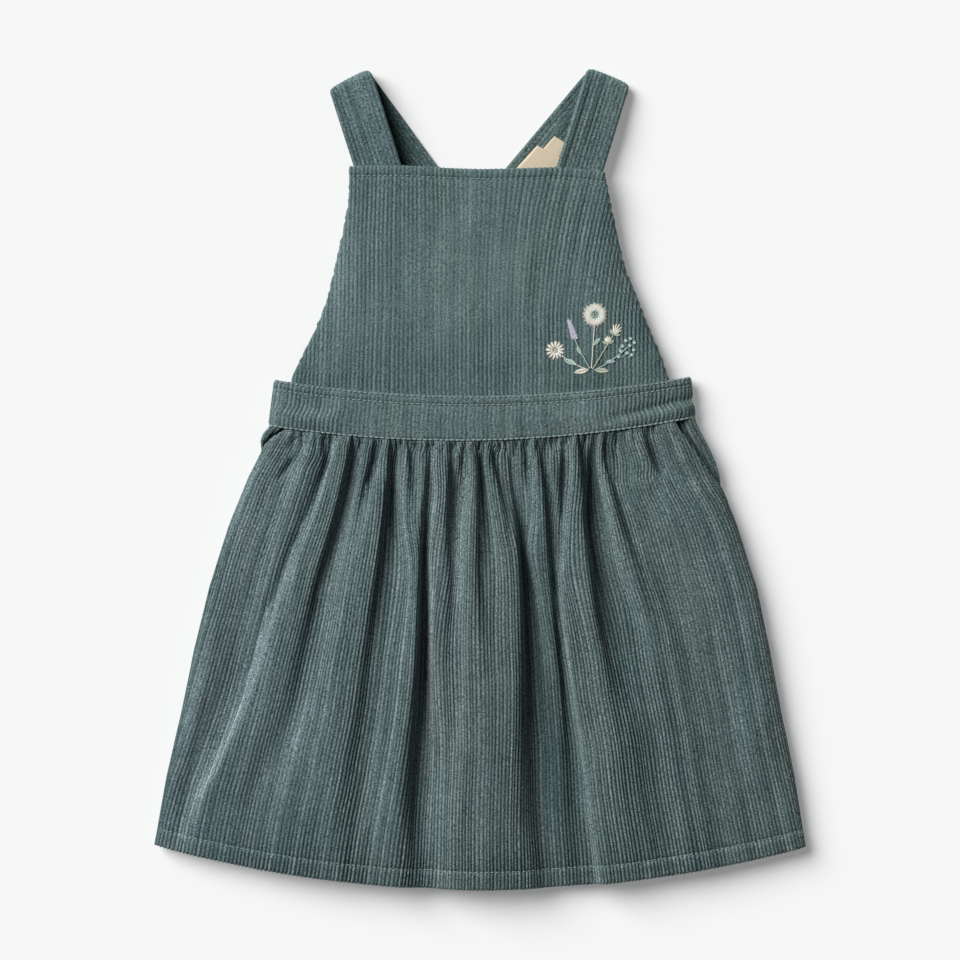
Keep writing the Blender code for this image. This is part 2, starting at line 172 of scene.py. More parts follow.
def shell(name, outer, inner, row_step, col_step, material, uv, up=True, pile=None):
    """Closed shell: outer is the fine grid, inner a grid of the same shape of
    which only every row_step-th row and col_step-th column is kept."""
    rows, cols = outer.shape[:2]
    keep_r = list(range(0, rows - 1, row_step)) + [rows - 1]
    keep_c = list(range(0, cols - 1, col_step)) + [cols - 1]
    index = np.arange(rows * cols).reshape(rows, cols)
    quads = np.stack([index[:-1, :-1], index[1:, :-1], index[1:, 1:], index[:-1, 1:]], axis=-1).reshape(-1, 4)
    small = inner[np.ix_(keep_r, keep_c)]
    far = rows * cols
    back = far + np.arange(small.shape[0] * small.shape[1]).reshape(small.shape[:2])
    back_quads = np.stack([back[:-1, :-1], back[:-1, 1:], back[1:, 1:], back[1:, :-1]], axis=-1).reshape(-1, 4)
    # the rim: walk round the fine border, and step the coarse one along with it
    walk = [(i, 0) for i in range(rows - 1)] + [(rows - 1, j) for j in range(cols - 1)]
    walk += [(i, cols - 1) for i in range(rows - 1, 0, -1)] + [(0, j) for j in range(cols - 1, 0, -1)]
    place_r = {r: k for k, r in enumerate(keep_r)}
    place_c = {c: k for k, c in enumerate(keep_c)}
    on_border = [(k, back[place_r[i], place_c[j]]) for k, (i, j) in enumerate(walk) if i in place_r and j in place_c]
    tris = []
    count = len(walk)
    for a, (k0, p) in enumerate(on_border):
        k1, q = on_border[(a + 1) % len(on_border)]
        if k1 <= k0:
            k1 += count
        half = k0 + (k1 - k0) // 2
        for k in range(k0, k1):
            o0, o1 = index[walk[k % count]], index[walk[(k + 1) % count]]
            if k == half:
                tris.append((p, q, o0))
                tris.append((o1, o0, q))
            elif k < half:
                tris.append((o1, o0, p))
            else:
                tris.append((o1, o0, q))
    tris = np.array(tris)
    if not up:
        quads, back_quads, tris = quads[:, ::-1], back_quads[:, ::-1], tris[:, ::-1]
    points = np.concatenate([outer.reshape(-1, 3), small.reshape(-1, 3)])
    uv_small = uv[np.ix_(keep_r, keep_c)]
    uvs = np.concatenate([uv.reshape(-1, 2), uv_small.reshape(-1, 2)])
    if pile is not None:
        pile = np.concatenate([pile.reshape(-1, 2), pile[np.ix_(keep_r, keep_c)].reshape(-1, 2)])
    return new_object(name, points, [quads, back_quads, tris], material, uvs, pile=pile)


# -------------------------------------------------------------------- materials
class Nodes:
    """Small helper that wires a material's nodes."""

    def __init__(self, name):
        self.mat = bpy.data.materials.new(name)
        self.mat.use_nodes = True
        self.tree = self.mat.node_tree
        self.shader = self.tree.nodes["Principled BSDF"]

    def add(self, kind, **settings):
        node = self.tree.nodes.new(kind)
        for key, value in settings.items():
            setattr(node, key, value)
        return node

    def link(self, a, b):
        self.tree.links.new(a, b)

    def math(self, operation, a, b=None, c=None, clamp=False):
        node = self.add("ShaderNodeMath", operation=operation, use_clamp=clamp)
        for socket, value in zip(node.inputs, (a, b, c)):
            if value is None:
                continue
            if isinstance(value, (int, float)):
                socket.default_value = value
            else:
                self.link(value, socket)
        return node.outputs[0]

    def noise(self, vector, scale, detail=2.0, roughness=0.5):
        node = self.add("ShaderNodeTexNoise")
        node.inputs["Scale"].default_value = scale
        node.inputs["Detail"].default_value = detail
        node.inputs["Roughness"].default_value = roughness
        self.link(vector, node.inputs["Vector"])
        return node.outputs["Fac"]

    def remap(self, value, a0, a1, b0, b1):
        node = self.add("ShaderNodeMapRange")
        node.clamp = True
        self.link(value, node.inputs["Value"])
        for key, number in (("From Min", a0), ("From Max", a1), ("To Min", b0), ("To Max", b1)):
            node.inputs[key].default_value = number
        return node.outputs["Result"]

    def mix(self, factor, a, b, blend="MIX"):
        node = self.add("ShaderNodeMix", data_type="RGBA", blend_type=blend)
        sockets = node.inputs
        if isinstance(factor, (int, float)):
            sockets[0].default_value = factor
        else:
            self.link(factor, sockets[0])
        for socket, value in ((sockets[6], a), (sockets[7], b)):
            if isinstance(value, tuple):
                socket.default_value = value
            else:
                self.link(value, socket)
        return node.outputs[2]


def corduroy(name, ribbed=1.0, speckle=1.0, red=1.0, ribs_differ=1.0):
    """Ribbed cotton with a soft pile.  Grooves are dark and ribs lighter, the
    grooves partly the cloth's own ground and partly painted shade; how much
    they differ is on the mesh in its second coordinates, beside a brightness
    gain that carries painted light and painted shade.  Blue and green lean
    over the cloth in broad streaks, bluer towards the garment's left side,
    where the light falls, as a painted bluish sheen."""
    n = Nodes(name)
    uv = n.add("ShaderNodeUVMap", uv_map="wale").outputs[0]
    split = n.add("ShaderNodeSeparateXYZ")
    n.link(uv, split.inputs[0])
    across, along = split.outputs[0], split.outputs[1]
    wave = n.math("COSINE", n.math("MULTIPLY", across, 2.0 * math.pi))
    crest = n.math("MULTIPLY_ADD", wave, -0.5, 0.5)
    object_at = n.add("ShaderNodeTexCoord").outputs["Object"]

    def streaks(scale_across, scale_along, shift, detail):
        at = n.add("ShaderNodeCombineXYZ")
        n.link(n.math("MULTIPLY_ADD", across, scale_across, shift), at.inputs[0])
        n.link(n.math("MULTIPLY", along, scale_along), at.inputs[1])
        return n.noise(at.outputs[0], 1.0, detail, 0.55)

    one_rib = n.add("ShaderNodeTexWhiteNoise", noise_dimensions="1D")
    n.link(n.math("FLOOR", across), one_rib.inputs["W"])
    streak = streaks(0.9, 0.05, 3.7, 2.0)
    pile = n.add("ShaderNodeSeparateXYZ")
    n.link(n.add("ShaderNodeUVMap", uv_map="pile").outputs[0], pile.inputs[0])
    patch = streaks(0.075, 0.022, 27.1, 2.0)
    fine = n.noise(object_at, 1080.0, 1.5, 0.6)
    coarse = n.noise(object_at, 430.0, 2.0, 0.6)
    cloud = n.noise(object_at, 60.0, 3.0, 0.6)
    # the grooves are painted darker than the ribs: partly the cloth's own ground, partly painted shade in the recess
    groove = (0.0445 * red, 0.069, 0.069, 1.0)
    top = (0.1485 * red, 0.199, 0.199, 1.0)
    contrast = n.math("MULTIPLY", pile.outputs[0], ribbed)
    level = n.math("SUBTRACT", 1.0, n.math("MULTIPLY", n.remap(crest, 0.0, 0.62, 1.0, 0.0), contrast))
    colour = n.mix(level, groove, top)
    blue = n.mix(1.0, colour, (0.965, 1.0, 1.075, 1.0), "MULTIPLY")
    green = n.mix(1.0, colour, (1.008, 1.005, 0.975, 1.0), "MULTIPLY")
    sides = n.add("ShaderNodeSeparateXYZ")
    n.link(object_at, sides.inputs[0])
    leaning = n.math("MULTIPLY", n.remap(patch, 0.38, 0.62, 0.0, 1.0), 0.42)
    # bluer towards the garment's left side, where the light falls: a painted bluish sheen; the streaks before it are
    # tone at random
    leaning = n.math("ADD", leaning, n.remap(sides.outputs[0], -0.19, 0.02, 0.60, 0.0), clamp=True)
    colour = n.mix(leaning, green, blue)
    gain = n.math("MULTIPLY_ADD", n.remap(streak, 0.25, 0.75, 0.0, 1.0), 0.36, 0.82)
    rib_gain = n.math("MULTIPLY_ADD", one_rib.outputs["Value"], 0.30 * ribs_differ, 1.0 - 0.15 * ribs_differ)
    grain = n.math("MULTIPLY_ADD", n.remap(fine, 0.30, 0.70, 0.0, 1.0), 1.20 * speckle, 1.0 - 0.60 * speckle)
    grain2 = n.math("MULTIPLY_ADD", n.remap(coarse, 0.28, 0.72, 0.0, 1.0), 0.14 * speckle, 1.0 - 0.07 * speckle)
    slow = n.math("MULTIPLY_ADD", n.remap(cloud, 0.3, 0.7, 0.0, 1.0), 0.14, 0.93)
    total = n.math("MULTIPLY", n.math("MULTIPLY", n.math("MULTIPLY", gain, rib_gain), grain), n.math("MULTIPLY", grain2, slow))
    # the second pile coordinate multiplies the colour: a brightness gain with painted light, painted shade and tone in
    # it
    total = n.math("MULTIPLY", total, pile.outputs[1])
    grey = n.add("ShaderNodeCombineColor")
    paler = n.math("POWER", total, 1.20)
    for socket in grey.inputs:
        if socket.name in ("Red", "Green", "Blue"):
            n.link(paler if socket.name == "Red" else total, socket)
    colour = n.mix(1.0, colour, grey.outputs[0], "MULTIPLY")
    n.link(colour, n.shader.inputs["Base Color"])
    n.shader.inputs["Roughness"].default_value = 0.95
    n.shader.inputs["Metallic"].default_value = 0.0
    n.shader.inputs["Specular IOR Level"].default_value = 0.10
    n.shader.inputs["Sheen Weight"].default_value = 0.45
    n.shader.inputs["Sheen Roughness"].default_value = 0.40
    n.shader.inputs["Sheen Tint"].default_value = (0.56, 0.75, 0.77, 1.0)
    bumps = n.add("ShaderNodeBump")
    bumps.inputs["Strength"].default_value = 0.65
    bumps.inputs["Distance"].default_value = 0.0004
    n.link(n.math("ADD", fine, n.math("MULTIPLY", coarse, 0.4)), bumps.inputs["Height"])
    n.link(bumps.outputs[0], n.shader.inputs["Normal"])
    return n.mat


def thread(name, colour, roughness=0.75):
    n = Nodes(name)
    object_at = n.add("ShaderNodeTexCoord").outputs["Object"]
    fine = n.noise(object_at, 1400.0, 1.0, 0.5)
    gain = n.remap(fine, 0.3, 0.7, 0.82, 1.12)
    grey = n.add("ShaderNodeCombineColor")
    for socket in grey.inputs:
        if socket.name in ("Red", "Green", "Blue"):
            n.link(gain, socket)
    n.link(n.mix(1.0, tuple(colour) + (1.0,), grey.outputs[0], "MULTIPLY"), n.shader.inputs["Base Color"])
    n.shader.inputs["Roughness"].default_value = roughness
    n.shader.inputs["Specular IOR Level"].default_value = 0.25
    return n.mat


def tape(name, colour):
    """Plain woven tape: two crossed sets of fine threads."""
    n = Nodes(name)
    uv = n.add("ShaderNodeUVMap", uv_map="wale").outputs[0]
    split = n.add("ShaderNodeSeparateXYZ")
    n.link(uv, split.inputs[0])
    a = n.math("SINE", n.math("MULTIPLY", split.outputs[0], 2.0 * math.pi / 0.55))
    b = n.math("SINE", n.math("MULTIPLY", split.outputs[1], 2.0 * math.pi / 0.45))
    weave = n.math("MULTIPLY", a, b)
    object_at = n.add("ShaderNodeTexCoord").outputs["Object"]
    slow = n.noise(object_at, 120.0, 2.0, 0.5)
    gain = n.math("ADD", n.math("MULTIPLY", weave, 0.05), n.remap(slow, 0.3, 0.7, 0.94, 1.05))
    grey = n.add("ShaderNodeCombineColor")
    for socket in grey.inputs:
        if socket.name in ("Red", "Green", "Blue"):
            n.link(gain, socket)
    n.link(n.mix(1.0, tuple(colour) + (1.0,), grey.outputs[0], "MULTIPLY"), n.shader.inputs["Base Color"])
    n.shader.inputs["Roughness"].default_value = 0.85
    n.shader.inputs["Specular IOR Level"].default_value = 0.2
    bumps = n.add("ShaderNodeBump")
    bumps.inputs["Strength"].default_value = 0.4
    bumps.inputs["Distance"].default_value = 0.0002
    n.link(weave, bumps.inputs["Height"])
    n.link(bumps.outputs[0], n.shader.inputs["Normal"])
    return n.mat


CORD_SKIRT = corduroy("corduroy_skirt", 1.0, 1.24, 0.974, 1.6)
CORD_BIB = corduroy("corduroy_bib", 1.0, 0.88, 0.924, 0.9)
CORD_BAND = corduroy("corduroy_band", 1.0, 1.0, 0.966, 0.9)
CORD_STRAP = corduroy("corduroy_strap", 1.0, 1.22, 0.912)
CORD_HIDDEN = corduroy("corduroy_back", 1.2, 0.95)
SEWING = thread("sewing_thread", (0.262, 0.352, 0.340))
SILKS = {
    "cream": thread("silk_cream", (0.92, 0.89, 0.79), 0.6),
    "mint": thread("silk_mint", (0.50, 0.70, 0.63), 0.6),
    "lavender": thread("silk_lavender", (0.62, 0.62, 0.76), 0.6),
    "leaf": thread("silk_leaf", (0.62, 0.68, 0.54), 0.6),
}
TAPE = tape("label_tape", (0.81, 0.685, 0.515))

PIECES = {}


def keep(piece, nodes=()):
    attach(piece, "root")
    if nodes:
        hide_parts(*nodes)
    PIECES[piece.name] = piece
    return piece


# ------------------------------------------------------------------------ skirt
SKIRT = table(
    ("v", "x_left", "y_left", "x_right", "y_right", "sag", "crown", "side_roll"),
    (
        (0.000, -135.4, 33.3, 138.3, 38.7, 12.2, 16.8, 12.0),
        (0.006, -135.8, 31.6, 138.9, 36.9, 12.2, 17.9, 12.1),
        (0.012, -136.2, 30.0, 139.5, 35.1, 12.2, 18.5, 12.2),
        (0.030, -137.2, 25.6, 141.3, 30.2, 12.2, 19.0, 12.5),
        (0.060, -139.2, 18.0, 144.4, 22.0, 12.4, 19.8, 13.0),
        (0.125, -148.4, 0.0, 151.6, 2.0, 13.0, 21.4, 15.0),
        (0.235, -160.4, -30.0, 164.5, -29.0, 15.0, 23.5, 17.0),
        (0.385, -173.0, -70.0, 177.5, -70.0, 17.5, 25.5, 19.0),
        (0.535, -182.9, -110.0, 185.9, -110.0, 20.0, 26.0, 20.0),
        (0.685, -191.0, -150.0, 193.3, -150.0, 22.5, 25.5, 20.0),
        (0.840, -200.3, -190.0, 201.6, -190.0, 25.0, 24.0, 18.0),
        (0.930, -204.8, -215.2, 205.7, -215.9, 26.2, 22.3, 17.0),
        (1.000, -208.3, -234.6, 209.0, -235.8, 27.2, 19.8, 16.0),
    ),
)
MOUTH_LEFT = table(
    ("v", "x", "z"),
    ((0.000, -123.8, 13.6), (0.021, -131.7, 13.2), (0.040, -136.3, 12.0),
     (0.060, -139.2, 10.0), (0.085, -142.7, SEAM_Z + 0.15)),
)
MOUTH_RIGHT = table(
    ("v", "x", "z"),
    ((0.000, 125.0, 13.8), (0.056, 135.0, 14.2), (0.105, 144.8, 13.2),
     (0.125, 148.8, 12.4), (0.150, 154.4, 10.4), (0.185, 159.0, SEAM_Z + 0.15)),
)

# How the front skirt is folded: one row for each wall of a fold, with points
# (y, x, height, reach) down its length, all in millimetres.  A rise is a wall
# that faces the left side, a fall one that faces the right side.
RISES = (
    ((25, -111, 3, 4), (12, -113, 4, 3.5), (-7, -122, 4.5, 4.5), (-65, -137, 3, 6), (-103, -151, 1, 7), (-142, -163, 0, 8)),
    ((25, -91, 4, 2), (12, -94.5, 5, 2.2), (-27, -108, 5.5, 2.6), (-65, -124, 6, 2.8), (-142, -150, 8.5, 3), (-180, -167, 7, 3.6), (-219, -187, 3, 5), (-251, -199, 0.6, 6)),
    ((25, -73.5, 4, 1.8), (12, -76, 6, 2), (-27, -83.5, 7, 2.8), (-65, -90.5, 6, 3.4), (-142, -106, 5, 4.4), (-180, -120, 1.8, 7), (-219, -136, 0.8, 8), (-251, -147, 0.8, 8)),
    ((25, -63, 4.5, 1.6), (12, -65, 5.5, 1.8), (-7, -68, 5, 2), (-27, -72.5, 3, 3), (-50, -78, 0, 4)),
    ((25, -50, 4, 1.6), (12, -51, 6, 1.8), (-7, -51.5, 9, 2.4), (-27, -50.5, 10.5, 3), (-65, -46, 8, 5), (-103, -46.5, 6.5, 6), (-142, -50.5, 4.4, 6.5), (-180, -58, 2.6, 7), (-251, -65, 2, 8)),
    ((25, -41, 2.5, 1.6), (12, -39.5, 4, 1.8), (-7, -38.5, 4, 2.2), (-27, -40, 2, 3), (-50, -40, 0, 3)),
    ((25, -29, 4, 1.6), (12, -30, 4, 1.8), (-7, -29, 6, 2.2), (-27, -31, 8, 2.4), (-46, -33, 13, 2), (-65, -32.5, 15, 2.2), (-103, -31.5, 15.5, 2.8), (-142, -30.2, 14, 4.8), (-180, -28.2, 13, 7.5), (-219, -28, 11, 8.5), (-251, -27.5, 8, 9)),
    ((25, -14, 3, 1.5), (12, -15, 3.5, 1.6), (-7, -14.5, 1, 2), (-20, -14.5, 0, 2)),
    ((25, -8, 4, 1.6), (12, -6.5, 6, 1.8), (-7, -7.5, 8, 2.2), (-27, -10, 8.5, 2.6), (-65, -10.5, 5.5, 3.2), (-142, -11, 4, 4), (-180, -15, 4, 5), (-251, -22, 2.4, 6)),
    ((25, 5, 4, 1.6), (12, 3.5, 6.5, 1.8), (-7, 5.5, 8, 2.2), (-27, 8.5, 8.5, 2.8), (-65, 12.5, 5.5, 3.6), (-103, 13, 3, 4.2), (-142, 15.5, 1.2, 5), (-180, 17, 0, 5)),
    ((25, 24, 3.5, 1.5), (12, 23.5, 4.5, 1.6), (-7, 24.5, 3, 2.2), (-20, 27, 0, 2.6)),
    ((25, 31.5, 3.5, 1.6), (12, 33.5, 5, 1.8), (-27, 33.5, 7, 2.4), (-46, 31, 12, 2.2), (-65, 34.5, 11, 3.2), (-103, 41, 7.0, 4.8), (-142, 46.5, 3.4, 6.5), (-180, 52, 1.2, 8), (-219, 56, 0.4, 9), (-251, 58, 0.2, 9)),
    ((25, 48.5, 3, 1.5), (12, 45, 4.5, 1.6), (-7, 46.5, 5, 2), (-27, 48.5, 3, 2.6), (-46, 50, 0, 3)),
    ((25, 58, 5, 1.6), (12, 58.5, 7, 1.8), (-27, 55.5, 8.5, 2.2), (-65, 51.8, 11, 1.7), (-103, 55.2, 13, 1.7), (-142, 60.4, 13, 1.9), (-180, 66, 12.5, 2.6), (-219, 71.2, 11, 3.2), (-251, 75.5, 8.5, 3.6)),
    ((25, 75, 4, 1.8), (12, 74.5, 7, 2), (-7, 77, 12, 2.6), (-27, 81.5, 13, 3.4), (-65, 90, 10, 5), (-103, 109, 6, 7), (-142, 132, 3, 9), (-180, 149, 1.2, 10), (-219, 160, 0.4, 10)),
    ((25, 89.5, 4, 2), (12, 95.5, 4, 2.6), (-7, 96.5, 3.6, 3.4), (-65, 117, 3, 5), (-103, 134.5, 2, 6), (-142, 149, 1.2, 7), (-180, 160, 0.5, 7)),
    ((25, 113, 3, 2.6), (12, 117, 4.5, 3), (-7, 117, 4.5, 4.4), (-65, 136, 2, 6), (-142, 164, 1, 7), (-180, 173, 0.8, 7)),
)
FALLS = (
    ((25, -101, 4, 1.8), (12, -99.5, 6, 2.2), (-7, -106, 3.6, 3), (-65, -130, 3, 4.4), (-103, -145.5, 1.2, 5), (-142, -156, 0, 6)),
    ((25, -81.5, 5, 1.5), (12, -84, 9, 1.5), (-27, -92.5, 10, 2.2), (-65, -103.5, 7.5, 2.8), (-103, -112.5, 6, 5), (-142, -122.5, 6, 8), (-180, -139, 5.5, 12), (-219, -158, 2.8, 14), (-251, -169, 0.8, 14)),
    ((25, -67.5, 5, 1.5), (12, -69.5, 8.5, 1.6), (-7, -74.5, 4.5, 1.8), (-27, -78, 2, 2.8), (-45, -82, 0, 3)),
    ((25, -56.5, 4.5, 1.5), (12, -57.5, 7.5, 1.5), (-7, -59, 11, 1.5), (-27, -61, 12, 1.8), (-65, -65, 9.5, 2.6), (-103, -70.5, 7.5, 4.4), (-142, -75, 7, 6), (-180, -80.5, 6, 7.5), (-251, -86, 3, 9)),
    ((25, -46, 4, 1.5), (12, -45, 5.5, 1.6), (-7, -44, 3, 2), (-20, -44, 0, 3)),
    ((25, -32.5, 4, 1.5), (12, -33, 4, 1.6), (-7, -34.5, 6, 1.8), (-27, -36, 9, 1.8), (-46, -36.8, 16, 1.5), (-65, -37.5, 17, 1.4), (-103, -38.5, 17.5, 1.5), (-142, -40.5, 17.5, 2.4), (-180, -42.8, 16, 4.6), (-219, -43.5, 13, 7), (-251, -42.5, 10, 9)),
    ((25, -19.5, 4, 1.5), (12, -19, 4.5, 1.6), (-7, -19.5, 8.5, 1.5), (-27, -20, 8, 1.8), (-65, -19, 4.5, 2.8), (-103, -19.5, 2.4, 4), (-142, -19, 1.2, 5), (-180, -20, 0.4, 5)),
    ((25, -10.5, 2.5, 1.4), (12, -12, 3.5, 1.5), (-7, -12, 1, 2), (-20, -12, 0, 2)),
    ((25, -3.5, 5, 1.5), (12, -1.5, 8, 1.5), (-27, -0.5, 9.5, 1.8), (-65, -0.5, 6, 2.8), (-103, 2, 3, 4.4), (-142, 6, 1.2, 5), (-180, 7, 0.4, 5)),
    ((25, 7.5, 4, 1.4), (12, 8, 6.5, 1.6), (-7, 13, 6, 2), (-27, 17.5, 3.6, 3), (-46, 19.5, 0, 3)),
    ((25, 18, 4, 1.5), (12, 19, 5, 1.6), (-7, 20.5, 5, 1.8), (-27, 23.5, 8, 1.8), (-46, 25.5, 15, 1.5), (-65, 26.5, 16.5, 1.5), (-103, 28, 17.5, 2.4), (-142, 29, 17.5, 4.4), (-180, 30, 16.5, 7), (-219, 32.5, 14, 9), (-251, 36.5, 11, 10)),
    ((25, 28.5, 3, 1.4), (12, 28.5, 4.5, 1.5), (-7, 29, 1, 2), (-20, 29, 0, 2)),
    ((-27, 38, 0, 5), (-65, 40, 2.6, 5), (-103, 44, 3.6, 5), (-142, 49, 3, 5), (-180, 54, 1.5, 6), (-219, 58, 0.5, 8)),
    ((25, 36, 4, 1.5), (12, 38.5, 4.5, 1.5), (-7, 41.5, 6, 1.6), (-27, 43, 7, 1.5), (-65, 46, 7, 1.3), (-103, 49, 7, 1.2), (-142, 53, 5.5, 1.5), (-180, 55.5, 3, 3), (-251, 58, 1, 5)),
    ((25, 53, 3, 1.4), (12, 52, 6, 1.5), (-7, 51.5, 5, 1.6), (-27, 52, 2.4, 2), (-42, 52, 0, 2)),
    ((25, 62.5, 4.5, 1.4), (12, 64.5, 7, 1.5), (-7, 65.5, 3, 1.8), (-20, 67, 0, 2)),
    ((25, 71.5, 3, 1.4), (12, 70, 6, 1.5), (-7, 68, 13, 1.6), (-27, 67.3, 15, 1.6), (-42, 69.4, 15, 1.6), (-65, 72.6, 14, 2.0), (-103, 79.0, 10.5, 4.2), (-142, 89.5, 8, 8), (-180, 100.5, 5.4, 10), (-219, 107, 3, 11), (-251, 109, 2, 11)),
    ((25, 79, 5, 1.5), (12, 79.5, 6, 1.7), (-7, 85, 5.5, 2.4), (-27, 90, 5, 3), (-65, 106, 3, 4.4), (-103, 126, 2.2, 6), (-180, 151, 0.8, 8)),
    ((25, 84.5, 3, 1.5), (12, 86.5, 2.4, 2), (-7, 90, 0.6, 2.4), (-20, 92, 0, 3)),
    ((25, 106, 6, 2), (12, 110.5, 9.5, 2.2), (-7, 123, 3.2, 3.4), (-27, 134.5, 1.8, 4.4), (-65, 144, 1, 5), (-142, 163, 0.4, 7)),
)
DEEP_LEFT_ROW, DEEP_RIGHT_ROW = 5, 10
BACK_FOLDS = ((-96.0, 1.2), (-58.0, 1.4), (-14.0, 1.1), (27.0, 1.4), (66.0, 1.2), (101.0, 1.3))


def seam_x(v):
    return column(SKIRT, "x_left", "v", v), column(SKIRT, "x_right", "v", v)


def row_y(x, v):
    left, right = seam_x(v)
    t = (x - left) / (right - left)
    y_left, y_right = column(SKIRT, "y_left", "v", v), column(SKIRT, "y_right", "v", v)
    return y_left + (y_right - y_left) * t - column(SKIRT, "sag", "v", v) * 4.0 * t * (1.0 - t)


def front_ends(v):
    left, right = seam_x(v)
    z_left = z_right = SEAM_Z + 0.15
    if v < MOUTH_LEFT["v"][-1]:
        left, z_left = column(MOUTH_LEFT, "x", "v", v), column(MOUTH_LEFT, "z", "v", v)
    if v < MOUTH_RIGHT["v"][-1]:
        right, z_right = column(MOUTH_RIGHT, "x", "v", v), column(MOUTH_RIGHT, "z", "v", v)
    return left, right, z_left, z_right


def smooth_curve(xs, ys):
    """Values of a smooth curve through (xs, ys), straight past its ends."""
    xs, ys = np.array(xs, float), np.array(ys, float)
    slope = np.gradient(ys, xs)

    def at(q):
        q = np.asarray(q, float)
        k = np.clip(np.searchsorted(xs, q) - 1, 0, len(xs) - 2)
        h = xs[k + 1] - xs[k]
        t = (q - xs[k]) / h
        c = np.clip(t, 0.0, 1.0)
        value = (1 + 2 * c) * (1 - c) ** 2 * ys[k] + c * (1 - c) ** 2 * h * slope[k]
        value = value + c * c * (3 - 2 * c) * ys[k + 1] + c * c * (c - 1) * h * slope[k + 1]
        past = np.where(t < 0.0, slope[0] * (q - xs[0]), np.where(t > 1.0, slope[-1] * (q - xs[-1]), 0.0))
        return value + past

    return at


def fold_lines(rows, sign):
    lines = []
    for points in rows:
        down, x, height, reach = (np.array(c, float) for c in zip(*points))
        lines.append(tuple(smooth_curve(-down, c) for c in (x, height, reach)) + (sign,))
    return lines


FOLD_LINES = fold_lines(RISES, 1.0) + fold_lines(FALLS, -1.0)
DEEP_LEFT, DEEP_RIGHT = FOLD_LINES[len(RISES) + DEEP_LEFT_ROW], FOLD_LINES[len(RISES) + DEEP_RIGHT_ROW]


def waist_tucks():
    """Small uneven tucks under the waist seam: place, depth, reach, length."""
    rng = np.random.default_rng(7)
    tucks, x = [], -118.0
    while x < 112.0:
        tucks.append((x, rng.uniform(1.3, 3.2), rng.uniform(0.55, 1.0), rng.uniform(4.0, 15.0), rng.uniform(-0.22, 0.22)))
        x += rng.uniform(3.0, 6.4)
    return tucks


TUCKS = waist_tucks()


def box_mean(values, half):
    """Running mean over 2 half + 1 samples, ends held."""
    padded = np.concatenate([np.full(half, values[0]), values, np.full(half, values[-1])])
    total = np.concatenate([[0.0], np.cumsum(padded)])
    width = 2 * half + 1
    return (total[width:] - total[:-width]) / width


def running_max(values, half):
    padded = np.concatenate([np.full(half, values[0]), values, np.full(half, values[-1])])
    out = padded[: len(values)].copy()
    for k in range(1, 2 * half + 1):
        out = np.maximum(out, padded[k : k + len(values)])
    return out


def fold_drop(v):
    """How far the folds of row v lie under the crown, on a fine line of x."""
    left, right, _, _ = front_ends(v)
    xs = np.linspace(left, right, 1800)
    down = -row_y(xs, v)
    raw = np.zeros_like(xs)
    for place_x, height, reach, sign in FOLD_LINES:
        h = np.maximum(height(down), 0.0)
        w = np.maximum(reach(down), 1.1)
        raw = raw + sign * h * 0.5 * (1.0 + np.tanh((xs - place_x(down)) / w * 1.25))
    step = (right - left) / 1799.0
    top = running_max(raw, max(2, int((15.0 + 5.0 * float(smooth((v - 0.35) / 0.35))) / step)))
    top = box_mean(box_mean(top, max(2, int(11.0 / step))), max(2, int(8.0 / step)))
    drop = top - raw
    drop = np.where(drop < 0.0, 0.45 * drop, drop)
    limit = np.interp(v, (0.0, 0.008, 0.03, 0.05, 0.08, 0.3, 0.8, 1.0), (1.9, 3.6, 6.0, 9.0, 13.0, 19.5, 18.0, 13.5))
    over = drop > limit * 0.8
    soft_top = limit * 0.8 + limit * 0.2 * np.tanh((drop - limit * 0.8) / (limit * 0.2))
    drop = np.where(over, soft_top, drop)
    from_seam = v * 281.0
    if from_seam < 30.0:
        for x0, depth, reach, length, lean in TUCKS:
            fade = math.exp(-(from_seam / length) ** 2) * min(1.0, (from_seam + 0.3) / 1.9)
            drop = drop + depth * fade * np.exp(-np.abs((xs - x0 - lean * from_seam) / (reach * (1.0 + from_seam / 14.0))) ** 1.4)
    return xs, drop


# dents and swellings of the front skirt, in spot_sum's columns
DENTS = (
    (-123.0, 6.5, -38.0, 2.4, 9.0, -2.6),
    (-128.5, -9.0, -8.0, 7.0, 15.0, 1.7),
    (-114.0, 13.0, -30.0, 4.5, 9.0, 1.0),
    (118.0, -14.0, 24.0, 7.0, 22.0, 0.9),
    (104.0, -150.0, 12.0, 16.0, 42.0, 0.8),
    (-120.0, -196.0, -22.0, 14.0, 34.0, 0.9),
    (150.0, -120.0, 16.0, 9.0, 40.0, -0.8),
)
